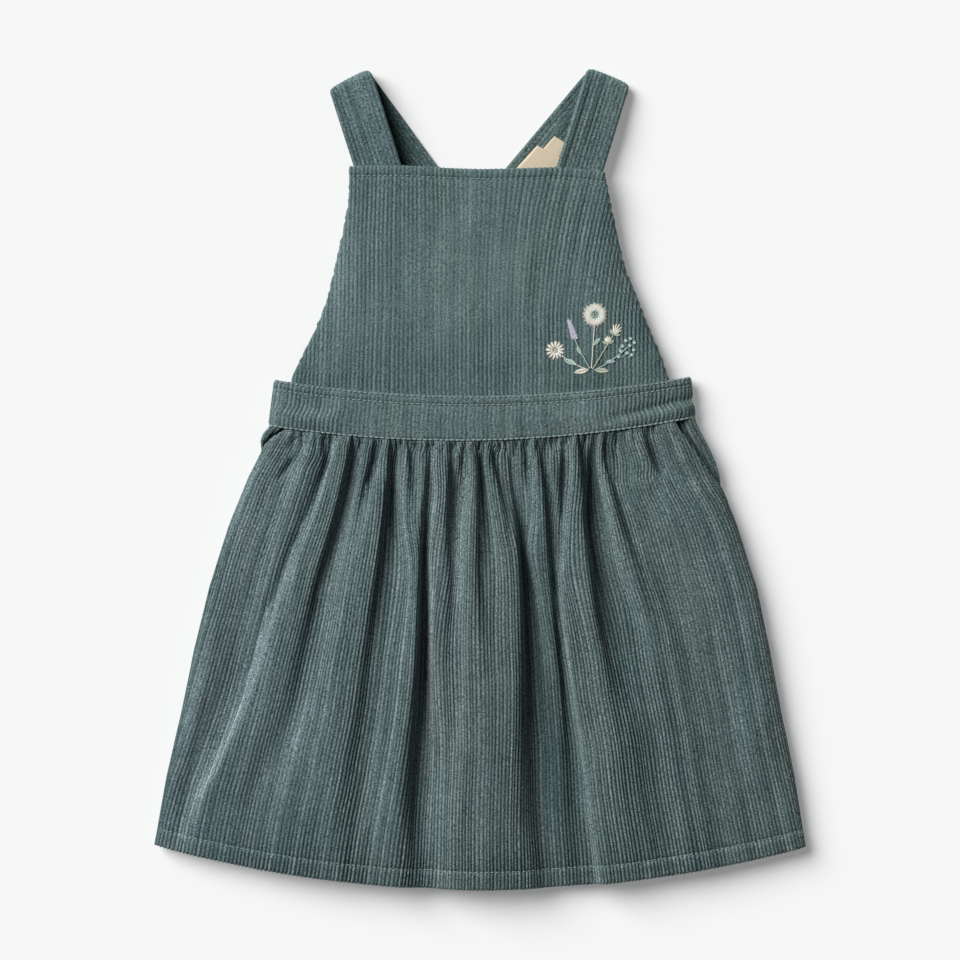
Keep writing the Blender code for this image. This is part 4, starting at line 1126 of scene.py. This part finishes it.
# ------------------------------------------------------------------------ bib
BIB = table(
    ("y", "x_left", "x_right", "z_mid", "z_edge"),
    (
        (198.6, -83.5, 79.9, 14.4, 14.2),
        (188.0, -83.2, 82.0, 14.4, 14.1),
        (176.0, -84.0, 84.2, 14.2, 12.4),
        (160.0, -87.0, 87.6, 13.9, 10.4),
        (133.4, -93.1, 93.8, 13.7, 9.4),
        (114.2, -97.6, 101.6, 13.7, 9.2),
        (95.0, -105.3, 109.1, 13.8, 9.2),
        (78.0, -114.0, 116.6, 13.9, 9.6),
        (64.0, -121.0, 121.0, 13.2, 9.6),
        (40.0, -121.0, 121.0, 12.9, 9.6),
    ),
)
BIB_HEM = 6.5
PILE_BIB = (
    (-20.0, 135.0, 0.0, 38.0, 46.0, -0.78),
    (20.0, 165.0, 0.0, 24.0, 24.0, -0.30),
    (66.0, 158.0, 16.0, 20.0, 40.0, 0.44),
    (-78.0, 150.0, -6.0, 8.0, 50.0, 0.10),
    (100.0, 98.0, 24.0, 13.0, 40.0, 0.60),
    (-60.0, 82.0, 0.0, 40.0, 14.0, 0.12),
    (0.0, 196.0, 90.0, 5.0, 90.0, -0.10),
)
# where the bib is painted lighter or darker: painted light, painted shade and tone, in spot_sum's columns
LIGHT_AND_TONE_BIB = (
    (-30.0, 140.0, 0.0, 40.0, 50.0, 0.01),
    (66.0, 146.0, 20.0, 28.0, 60.0, 0.14),
    (0.0, 72.0, 90.0, 12.0, 110.0, -0.04),
    (-84.0, 140.0, -6.0, 20.0, 60.0, 0.09),
)


def bib_top_wave(x):
    return 1.6 * np.cos(x / 83.0 * math.pi) * -0.5 + np.interp(x, (-83.0, -50.0, 0.0, 50.0, 80.0), (0.2, 1.2, 0.0, 0.2, -3.6))


def bib_z(x, y, left, right, edge_drop):
    key = -BIB["y"]
    mid, low = np.interp(-y, key, BIB["z_mid"]), np.interp(-y, key, BIB["z_edge"])
    s = (2.0 * x - left - right) / (right - left)
    z = low + (mid - low) * roll(1.0 - np.abs(s), 0.30)
    z = z - 1.1 * (1.0 - roll((1.0 - np.abs(s)) * (right - left) / 2.0, 1.3))
    z = z + 0.30 * soft_noise(x, y, 41, 48.0)
    z = z + 0.35 * np.exp(-((198.6 - y - BIB_HEM / 2.0) / 2.4) ** 2)
    z = z - 0.6 * np.exp(-((198.6 - y - BIB_HEM) / 0.9) ** 2)
    z = z - edge_drop
    # the waistband holds the cloth down along its upper edge
    low_band = band_z(x, BAND_TOP["x_left"], BAND_TOP["x_right"]) - BAND - 0.45
    tuck = smooth((band_y(BAND_TOP, x) + 9.0 - y) / 9.0)
    return z * (1.0 - tuck) + np.minimum(z, low_band) * tuck


def bib_front():
    rows_y = np.concatenate([
        198.6 - np.array((0.0, 0.3, 0.8, 1.6, 2.8, 4.2, 5.2, 5.9, 6.5, 7.1, 7.8, 9.0)),
        np.linspace(187.5, 72.0, 56), np.linspace(70.0, 44.0, 9)])
    samples = 620
    shape = np.linspace(-1.0, 1.0, samples + 1)
    shape = np.sign(shape) * (1.0 - (1.0 - np.abs(shape)) ** 1.06)
    key = -BIB["y"]
    grid, phase = [], []
    for y in rows_y:
        left, right = np.interp(-y, key, BIB["x_left"]), np.interp(-y, key, BIB["x_right"])
        if y < 78.0:
            lower = np.interp(y, (44.0, 64.0, 78.0), (-121.0, -120.4, BIB["x_left"][7]))
            left, right = lower, np.interp(y, (44.0, 64.0, 78.0), (121.0, 121.0, BIB["x_right"][7]))
        left = left + 0.30 * math.sin(y * 1.31) + 0.25 * math.sin(y * 0.73 + 1.0)
        right = right + 0.28 * math.sin(y * 1.17 + 2.0) + 0.22 * math.sin(y * 0.61)
        x = 0.5 * (left + right) + 0.5 * (right - left) * shape
        drop = 1.5 * (1.0 - float(roll(198.6 - y, 1.5)))
        z = bib_z(x, np.full_like(x, y), left, right, drop)
        yy = y + bib_top_wave(x) * np.interp(y, (120.0, 198.6), (0.0, 1.0))
        low_y = band_y(BAND_TOP, x) - 8.5
        yy = np.where(y < 72.0, np.maximum(yy, low_y + (yy - 44.0) * 0.02), yy)
        grid.append(np.stack([x, yy, z], axis=1))
        phase.append(np.stack([x / WALE + 40.0, np.full_like(x, (198.6 - y) / WALE)], axis=1))
    base, uv = np.array(grid), np.array(phase)
    n = grid_normals(base)
    amp = RIB * 0.72 * (1.0 - 0.5 * np.exp(-((198.6 - rows_y - BIB_HEM) / 0.9) ** 2))
    wobble = 0.10 * soft_noise(base[:, :, 0] * 0.6, base[:, :, 1], 77, 60.0)
    uv[:, :, 0] += wobble
    # the cloth is pulled round a little at the upper right, so the wales lean
    lean = 17.0 * smooth((base[:, :, 0] + 22.0) / 104.0) * np.clip((base[:, :, 1] - 104.0) / 92.0, 0.0, 1.0) ** 1.4
    lean_left = 5.0 * smooth((-base[:, :, 0] - 30.0) / 50.0) * (1.0 - base[:, :, 1] / 190.0)
    uv[:, :, 0] += (lean_left - lean) / WALE
    gain = 1.0 + 0.12 * soft_noise(base[:, :, 0] * 3.0, base[:, :, 1] * 0.3, 15, 9.0)
    standing = pile_field(base[:, :, 0], base[:, :, 1], 0.62, 71, PILE_BIB, 0.12)
    pile = np.stack([standing, 1.0 + spot_sum(base[:, :, 0], base[:, :, 1], LIGHT_AND_TONE_BIB)], axis=2)
    outer = base + n * (rib(uv[:, :, 0]) * amp[:, None] * gain * (0.35 + 0.75 * standing))[:, :, None]
    inner = base - n * 1.5
    piece = shell("bib_front_cloth", outer, inner, 6, 10, CORD_BIB, uv, pile=pile)
    keep(piece, ["bib_front"])
    y = 198.6 - BIB_HEM
    left, right = np.interp(-y, key, BIB["x_left"]) + 1.0, np.interp(-y, key, BIB["x_right"]) - 1.0
    xs = np.linspace(left, right, 500)
    z = bib_z(xs, np.full_like(xs, y), left - 1.0, right + 1.0, 0.0)
    line = np.stack([xs, y + bib_top_wave(xs), z + 0.42], axis=1)
    return piece, stitches("bib_stitches", line, 3.4, 2.5, 0.36)


# --------------------------------------------------------------------- straps
# painted_light is a brightness gain below one, lowest for the left strap, which tilts towards the light; painted_shade
# is how dark the painted shadow on the back run is
STRAPS = dict(
    strap_left=dict(bib=(-61.8, 189.5), fold=(-84.0, 256.0), slant=27.0, end=(67.2, 45.0), over=False, tilt=2.8, rolled=False, painted_light=0.845, painted_shade=0.62,
                    pile=((6.0, 36.0, 0.0, 9.0, 50.0, 0.50), (26.0, 36.0, 0.0, 8.0, 60.0, -0.16), (44.0, 30.0, 0.0, 5.0, 50.0, 0.20))),
    strap_right=dict(bib=(61.6, 189.5), fold=(83.2, 258.0), slant=-22.0, end=(-91.5, 47.2), over=True, tilt=-2.0, rolled=True, painted_light=0.975, painted_shade=0.25,
                     pile=((25.0, 30.0, 0.0, 6.0, 30.0, 0.30), (38.0, 30.0, 0.0, 10.0, 60.0, -0.14))),
)


def back_run_z(spec, f):
    z = np.full_like(np.asarray(f, float), STRAP / 2)
    if spec["over"]:
        z = z + np.interp(f, (0.26, 0.42, 0.72, 0.86), (0.0, STRAP + 0.5, STRAP + 0.5, 0.0))
    on_band = BAND + 0.3 + STRAP / 2 + 0.1
    return np.maximum(z, np.interp(f, (0.82, 0.90, 1.0), (STRAP / 2, on_band, on_band)))


def strap_turn(spec):
    slant = math.radians(spec["slant"])
    away = np.array((-math.sin(slant), math.cos(slant)))
    return np.array(spec["fold"]) - away * (FOLD_RADIUS + STRAP / 2), away, slant


def strap_line(spec):
    """Middle line of a strap, finely: place, slant of its cross lines, how far
    its cross lines tilt (mm at the edge) and how far they are on the fold."""
    turn, away, slant = strap_turn(spec)
    bib, end = np.array(spec["bib"]), np.array(spec["end"])
    low = STRAP / 2
    high = low + 2 * FOLD_RADIUS
    back_slant = math.atan2(end[0] - turn[0], -(end[1] - turn[1]))
    stations = []
    for f in np.linspace(0.0, 1.0, 26):
        at = bib + (turn - bib) * f
        z = np.interp(f, (0.0, 0.16, 0.6, 1.0), (10.95, 11.2, 11.4, high))
        tilt = spec["tilt"] * np.interp(f, (0.0, 0.35, 1.0), (0.15, 1.0, 1.0))
        stations.append((at[0], at[1], z, slant * f, tilt, 0.0))
    for a in np.linspace(0.0, 180.0, 25)[1:]:
        r = math.radians(a)
        at = turn
        stations.append((at[0], at[1], low + FOLD_RADIUS + FOLD_RADIUS * math.cos(r), slant, spec["tilt"] * 0.5 * (1.0 + math.cos(r)), math.sin(r)))
    for f in np.linspace(0.0, 1.0, 62)[1:]:
        at = turn + (end - turn) * f
        stations.append((at[0], at[1], float(back_run_z(spec, f)), slant + (back_slant - slant) * min(1.0, f * 2.0), 0.0, 0.0))
    return np.array(stations), away


def strap(name):
    spec = STRAPS[name]
    line, away = strap_line(spec)
    points = line[:, :3].copy()
    points[:, :2] += away[None, :] * (FOLD_RADIUS * line[:, 5])[:, None]
    along = np.gradient(points, axis=0)
    along /= np.linalg.norm(along, axis=1, keepdims=True)
    wales = 11
    phases = np.array((0.0, 0.12, 0.3, 0.5, 0.7, 0.88))
    m = np.append((np.arange(wales)[:, None] + phases[None, :]).ravel(), wales)
    t = m / wales * 2.0 - 1.0
    half_thick = STRAP / 2
    step = np.linalg.norm(np.diff(points, axis=0), axis=1)
    travel = np.concatenate([[0.0], np.cumsum(step)])
    faces_o, faces_i, uv, painted_lights = [], [], [], []
    edge = STRAP_WIDTH / 2
    turned_from = travel[25]
    front_dir = np.array(spec["bib"]) - points[25, :2]
    front_dir /= np.linalg.norm(front_dir)
    # past the fold the outer face is the one that lies downwards
    behind = smooth((np.arange(len(points)) - 37.0) / 12.0)
    for p, d, slant, s, tilt, turned, under in zip(points, along, line[:, 3], travel, line[:, 4], line[:, 5], behind):
        across = np.array((math.cos(slant), math.sin(slant), 0.0))
        flat = np.array((d[0], d[1], 0.0))
        size = np.linalg.norm(flat)
        lean = 1.0 if size < 0.3 else abs(across[0] * d[1] - across[1] * d[0]) / size
        half = edge / max(lean, 0.8)
        normal = np.cross(across, d)
        normal /= np.linalg.norm(normal)
        # rounded edges: the two faces meet in a soft roll
        off = half_thick * roll((1.0 - np.abs(t)) * edge, 1.7)
        pillow = 0.18 * (1.0 - t ** 2) * (1.0 - under)
        if spec["rolled"]:
            # its inner edge is rolled up into a soft ridge on the front run
            on = float(smooth((turned_from - s) / 12.0)) if s < turned_from else 0.0
            pillow = pillow + on * (0.80 * np.exp(-((t + 0.83) / 0.14) ** 2) - 0.15 * np.exp(-((t + 0.54) / 0.12) ** 2))
        # the fold bows out in its middle and rounds off at its corners
        bow = turned * (0.45 * (1.0 - t ** 2) - 1.7 * np.abs(t) ** 8)
        mid_line = p + across * half * t[:, None] + np.array((0.0, 0.0, 1.0)) * (tilt * t)[:, None]
        mid_line[:, :2] += away[None, :] * bow[:, None]
        faces_o.append(mid_line + normal * (off + pillow)[:, None])
        faces_i.append(mid_line - normal * off[:, None])
        uv.append(np.stack([m, np.full_like(m, s / WALE)], axis=1))
        # painted shade darkens the back run beside the front run, where the front run's shadow falls, and a painted
        # highlight lightens the fold
        away_from = mid_line[:, :2] - points[25, :2]
        off_line = np.abs(away_from[:, 0] * front_dir[1] - away_from[:, 1] * front_dir[0]) - edge
        shade_mask = (1.0 - smooth((off_line + 1.0) / 15.0)) if s > turned_from + 6.0 and spec["painted_shade"] else 0.0 * off_line
        painted_lights.append(spec["painted_light"] * (1.0 - spec["painted_shade"] * shade_mask) * (1.0 + 0.20 * turned))
    outer, inner, uv, painted_lights = np.array(faces_o), np.array(faces_i), np.array(uv), np.array(painted_lights)
    mid = 0.5 * (outer + inner)
    side = outer - mid
    length = np.linalg.norm(side, axis=2, keepdims=True)
    n = np.where(length > 1e-6, side / np.maximum(length, 1e-9), 0.0)
    n[:, 0], n[:, -1] = n[:, 1], n[:, -2]
    flip = n[0, 5, 2] < 0.0
    amp = RIB * 0.62 * (0.15 + 0.85 * roll((1.0 - np.abs(t)) * edge, 2.0))
    standing = pile_field(uv[:, :, 0] * WALE * 1.6, uv[:, :, 1] * WALE, 0.38, 81 if name == "strap_left" else 91, spec["pile"], 0.16)
    pile = np.stack([standing, painted_lights], axis=2)
    relief = rib(uv[:, :, 0]) * amp[None, :] * (0.25 + 0.75 * standing)
    cut = amp[None, :] * (0.25 + 0.75 * standing)
    top = outer + n * (relief - cut * behind[:, None])[:, :, None]
    # the lower face only has its grooves cut in, so it rests at its full width
    low = inner - n * (relief - cut)[:, :, None] * 0.8
    low[:, 0], low[:, -1] = top[:, 0], top[:, -1]
    rows, cols = top.shape[:2]
    # one closed body: the top face, and the lower face sharing the long edges
    index = np.arange(rows * cols).reshape(rows, cols)
    lower = np.full((rows, cols), -1)
    lower[:, 0], lower[:, -1] = index[:, 0], index[:, -1]
    lower[:, 1:-1] = rows * cols + np.arange(rows * (cols - 2)).reshape(rows, cols - 2)
    pts = np.concatenate([top.reshape(-1, 3), low[:, 1:-1].reshape(-1, 3)])
    uvs = np.concatenate([uv.reshape(-1, 2), uv[:, 1:-1].reshape(-1, 2)])
    piles = np.concatenate([pile.reshape(-1, 2), pile[:, 1:-1].reshape(-1, 2)])
    a = np.stack([index[:-1, :-1], index[:-1, 1:], index[1:, 1:], index[1:, :-1]], axis=-1).reshape(-1, 4)
    b = np.stack([lower[:-1, :-1], lower[1:, :-1], lower[1:, 1:], lower[:-1, 1:]], axis=-1).reshape(-1, 4)
    caps = []
    for r, turn_round in ((0, False), (rows - 1, True)):
        quads = []
        for j in range(cols - 1):
            q = (index[r, j], lower[r, j], lower[r, j + 1], index[r, j + 1])
            q = tuple(dict.fromkeys(q))
            quads.append(q[::-1] if turn_round else q)
        caps += quads
    tris = np.array([q for q in caps if len(q) == 3])
    fours = np.array([q for q in caps if len(q) == 4])
    lists = [a, b, fours, tris]
    if flip:
        lists = [part[:, ::-1] for part in lists]
    piece = new_object(name + "_cloth", pts, lists, CORD_STRAP, uvs, pile=piles)
    return keep(piece, [name])


# --------------------------------------------------------------------- labels
LABELS = dict(
    label_main=dict(corner=(37.1, 213.8), along=(-0.677, -0.736), across=(0.890, -0.455), length=34.0, width=20.0, lift=0.75),
    label_size=dict(corner=(48.1, 219.9), along=(-0.656, -0.755), across=(0.853, -0.522), length=12.4, width=11.5, lift=0.10),
)


def label(name):
    spec = LABELS[name]
    along, across = np.array(spec["along"]), np.array(spec["across"])
    corner = np.array(spec["corner"])
    run_spec = STRAPS["strap_right"]
    turn, _, _ = strap_turn(run_spec)
    run = np.array(run_spec["end"]) - turn
    rows, cols = 28, 16
    base, uv = [], []
    for f in np.linspace(0.0, 1.0, rows):
        row, uvs = [], []
        for g in np.linspace(0.0, 1.0, cols):
            p = corner + along * spec["length"] * f + across * spec["width"] * g
            z = float(back_run_z(run_spec, (p - turn) @ run / (run @ run))) + STRAP / 2 + 0.4
            z += spec["lift"] + 0.25 * math.sin(f * 3.1) + 0.30 * math.sin(g * 3.0)
            row.append((p[0], p[1], z))
            uvs.append((f * spec["length"], g * spec["width"]))
        base.append(row)
        uv.append(uvs)
    base, uv = np.array(base), np.array(uv)
    outer = base.copy()
    outer[:, :, 2] += 0.45
    edge = np.minimum(np.minimum(uv[:, :, 0], spec["length"] - uv[:, :, 0]), np.minimum(uv[:, :, 1], spec["width"] - uv[:, :, 1]))
    outer[:, :, 2] -= 0.25 * (1.0 - roll(edge, 0.8))
    up = grid_normals(base)[5, 5, 2] > 0
    piece = shell(name + "_tape", outer, base.copy(), 9, 5, TAPE, uv, up=bool(up))
    return keep(piece, [name])


# ----------------------------------------------------------------- embroidery
def bib_surface(x, y):
    """Top of the bib's ribs at (x, y)."""
    key = -BIB["y"]
    x, y = np.asarray(x, float), np.asarray(y, float)
    left, right = np.interp(-y, key, BIB["x_left"]), np.interp(-y, key, BIB["x_right"])
    return bib_z(x, y, left, right, 0.0) + RIB * 0.60


class Needle:
    """Collects thread strokes by colour and turns each colour into one piece."""

    def __init__(self):
        self.parts = {}
        self.rng = np.random.default_rng(11)

    def stroke(self, colour, points, radius=0.30, rise=0.22):
        points = np.array(points, float)
        f = np.linspace(0.0, 1.0, max(5, int(len(points))))
        path, total = polyline_walk(np.column_stack([points, np.zeros(len(points))]), np.zeros(1))
        path, _ = polyline_walk(np.column_stack([points, np.zeros(len(points))]), f * total)
        arch = 1.0 - np.abs(2.0 * f - 1.0) ** 3
        path[:, 2] = bib_surface(path[:, 0], path[:, 1]) - 0.10 + (rise + 0.10) * arch
        radii = radius * (0.62 + 0.38 * np.minimum(1.0, 5.0 * np.minimum(f, 1.0 - f)))
        self.parts.setdefault(colour, []).append(tube_points(path, radii, 6, 0.75))

    def stem(self, colour, points, radius=0.36, stitch=1.55):
        """Stem stitch: short strokes that overlap along a curve."""
        points = np.array(points, float)
        u = np.linspace(0.0, 1.0, 40)
        p0, p1, p2 = points[0], points[1], points[2]
        curve = (1 - u)[:, None] ** 2 * p0 + (2 * u * (1 - u))[:, None] * p1 + (u ** 2)[:, None] * p2
        length = np.concatenate([[0.0], np.cumsum(np.linalg.norm(np.diff(curve, axis=0), axis=1))])
        count = max(2, int(length[-1] / stitch))
        for k in range(count):
            a, b = (k + 0.06) / count * length[-1], (k + 0.94) / count * length[-1]
            q = np.linspace(max(a, 0.0), min(b, length[-1]), 6)
            line = np.stack([np.interp(q, length, curve[:, 0]), np.interp(q, length, curve[:, 1])], axis=1)
            d = line[-1] - line[0]
            side = np.array((-d[1], d[0])) / max(np.linalg.norm(d), 1e-6)
            line = line + side[None, :] * (0.16 * np.linspace(1.0, -1.0, 6))[:, None]
            self.stroke(colour, line, radius, 0.34)

    def satin(self, colour, centre, angle, length, width, slant=0.5, radius=0.27):
        """A leaf or petal filled with slanting strokes from its midrib."""
        a = math.radians(angle)
        d, side = np.array((math.cos(a), math.sin(a))), np.array((-math.sin(a), math.cos(a)))
        count = max(4, int(length / 0.52))
        for k in range(count):
            f = (k + 0.5) / count
            half = width / 2.0 * math.sin(math.pi * min(1.0, f ** 0.8)) ** 0.75
            root = np.array(centre) + d * length * f
            for way in (-1.0, 1.0):
                tip = root + side * way * half + d * slant * half
                self.stroke(colour, [root, 0.5 * (root + tip), tip], radius, 0.20)

    def knot(self, colour, centre, radius):
        """A small wound knot: a ring of thread."""
        a = np.linspace(0.0, 2.0 * math.pi * 1.15, 12)
        ring = np.stack([centre[0] + radius * np.cos(a), centre[1] + radius * np.sin(a)], axis=1)
        self.stroke(colour, ring, 0.30, 0.30)

    def daisy(self, colour, centre, petals, inner, outer, start=0.0, heart=None):
        for k in range(petals):
            a = math.radians(start + 360.0 * k / petals)
            for offset in (-0.11, 0.0, 0.11):
                d = np.array((math.cos(a + offset), math.sin(a + offset)))
                reach = outer * (1.0 - 0.10 * abs(offset) / 0.11 + self.rng.uniform(-0.05, 0.05))
                self.stroke(colour, [np.array(centre) + d * inner, np.array(centre) + d * reach], 0.29, 0.24)
        if heart:
            for k in range(5):
                a = 2.0 * math.pi * k / 5
                self.knot(heart, (centre[0] + 0.55 * inner * math.cos(a), centre[1] + 0.55 * inner * math.sin(a)), 0.34)

    def pieces(self):
        return [keep(join_tubes("embroidery_" + colour, parts, SILKS[colour])) for colour, parts in self.parts.items()]


def embroidery():
    """A small generic posy low on one side of the bib."""
    n = Needle()
    foot = (71.5, 68.4)
    # open daisy, low on the left, with a leaf under it
    n.stem("cream", [(foot[0] - 1.6, foot[1] + 0.8), (60.0, 72.5), (52.6, 78.4)])
    n.daisy("cream", (48.6, 81.8), 13, 1.5, 6.3, 8.0, "leaf")
    n.satin("mint", (62.0, 72.8), 158.0, 8.6, 3.4)
    # lavender spike
    n.stem("mint", [(foot[0] - 0.9, foot[1] + 1.6), (65.4, 79.0), (61.0, 88.4)])
    for k in range(9):
        f = k / 8.0
        c = np.array((61.0 - 3.6 * f, 88.6 + 10.5 * f))
        for way in (-1.0, 1.0):
            for spread in (2.7, 1.5):
                tip = c + np.array((way * spread * (1.0 - 0.5 * f), 1.7 + 0.5 * (2.7 - spread)))
                n.stroke("lavender", [c, tip], 0.38, 0.30)
        if k % 2:
            n.knot("cream", (c[0], c[1] + 0.7), 0.30)
    n.stroke("lavender", [(57.3, 99.2), (56.6, 102.0)], 0.38, 0.30)
    # tall round daisy in the middle, two rings of petals
    n.stem("cream", [(foot[0], foot[1] + 1.8), (72.6, 84.0), (73.4, 97.0)])
    n.daisy("cream", (73.9, 104.4), 19, 2.2, 8.2, 0.0, "leaf")
    n.daisy("mint", (73.9, 104.4), 10, 2.0, 4.2, 11.0)
    # closed buds on the right
    n.stem("leaf", [(foot[0] + 0.8, foot[1] + 1.4), (79.0, 80.5), (85.4, 91.6)])
    for bx, by, size, lean in ((85.8, 92.0, 7.6, 60.0), (82.4, 86.2, 4.8, 96.0)):
        for turn in (-32.0, -16.0, 0.0, 16.0, 32.0):
            a = math.radians(lean + turn)
            reach = size * (1.0 - 0.006 * abs(turn))
            tip = (bx + math.cos(a) * reach, by + math.sin(a) * reach)
            n.stroke("cream", [(bx, by), (bx + math.cos(a) * size * 0.5, by + math.sin(a) * size * 0.5), tip], 0.46, 0.36)
        n.satin("leaf", (bx - 0.2, by - 0.2), lean + 62.0, 3.8, 2.0)
        n.satin("leaf", (bx + 0.2, by - 0.2), lean - 62.0, 3.8, 2.0)
    # sprig of berries, low on the right
    n.stem("mint", [(foot[0] + 1.6, foot[1] + 0.8), (82.0, 72.4), (93.8, 83.0)])
    for x, y in ((96.0, 85.0), (98.6, 82.2), (93.6, 88.0), (91.4, 84.6), (99.0, 86.8), (96.4, 89.4), (94.4, 80.2), (90.2, 81.4), (89.0, 77.8), (97.4, 79.0)):
        n.knot("mint", (x, y), 0.86)
        n.knot("cream", (x, y), 0.28)
    for x, y in ((96.0, 85.0), (91.4, 84.6), (94.4, 80.2), (97.4, 79.0)):
        n.stroke("mint", [(x - 0.7, y - 0.7), (x - 2.6, y - 2.2)], 0.24, 0.16)
    # leaves at the foot and on the stems
    n.satin("cream", (69.6, 69.2), 190.0, 9.0, 3.4)
    n.satin("leaf", (73.6, 69.2), -4.0, 9.0, 3.4)
    n.satin("mint", (72.9, 85.0), 48.0, 6.0, 2.6)
    n.satin("leaf", (64.8, 79.4), 116.0, 5.4, 2.4)
    n.satin("lavender", (80.6, 74.4), 4.0, 6.0, 2.6)
    return n.pieces()


# ------------------------------------------------------------------------ build
skirt, hem_row = skirt_front()
back = skirt_back()
pocket_l = pocket("pocket_left_cloth", "pocket_left", -1, 0.074, 0.11, 26.0)
pocket_r = pocket("pocket_right_cloth", "pocket_right", 1, 0.150, 0.20, 30.0)
band, band_rows = waistband(True)
band_back, _ = waistband(False)
bib, bib_row = bib_front()
strap_l, strap_r = strap("strap_left"), strap("strap_right")
tape_main, tape_size = label("label_main"), label("label_size")
posy = embroidery()

# ------------------------------------------------------------------------ stage
floor_mesh = bpy.data.meshes.new("floor")
floor_mesh.from_pydata([(-3.0, -3.0, 0.0), (3.0, -3.0, 0.0), (3.0, 3.0, 0.0), (-3.0, 3.0, 0.0)], [], [(0, 1, 2, 3)])
paper = Nodes("floor_paper")
paper.shader.inputs["Base Color"].default_value = (0.86, 0.86, 0.86, 1.0)
paper.shader.inputs["Emission Color"].default_value = (1.0, 1.0, 1.0, 1.0)
paper.shader.inputs["Emission Strength"].default_value = 0.206
paper.shader.inputs["Roughness"].default_value = 1.0
paper.shader.inputs["Specular IOR Level"].default_value = 0.0
floor_mesh.materials.append(paper.mat)
floor = bpy.data.objects.new("floor", floor_mesh)
floor.location = (0.0, 0.0, -0.0004)
bpy.context.scene.collection.objects.link(floor)

world = bpy.data.worlds.new("studio")
world.use_nodes = True
world.node_tree.nodes["Background"].inputs["Color"].default_value = (1.0, 1.0, 1.0, 1.0)
world.node_tree.nodes["Background"].inputs["Strength"].default_value = 0.085
bpy.context.scene.world = world

# one broad soft light from the upper left
sun_data = bpy.data.lights.new("window", "SUN")
sun_data.energy = 3.75
sun_data.angle = math.radians(42.0)
sun = bpy.data.objects.new("window", sun_data)
sun.rotation_euler = Vector((0.62, -0.47, -0.628)).to_track_quat("-Z", "Y").to_euler()
bpy.context.scene.collection.objects.link(sun)

scene = bpy.context.scene
scene.view_settings.view_transform = "Standard"
camera_data = bpy.data.cameras.new("camera")
camera_data.sensor_width = 36.0
camera_data.lens = 117.2
camera_data.clip_start, camera_data.clip_end = 0.1, 10.0
camera = bpy.data.objects.new("camera", camera_data)
camera.location = (-0.00003, -0.00096, 2.010)
bpy.context.scene.collection.objects.link(camera)
scene.camera = camera
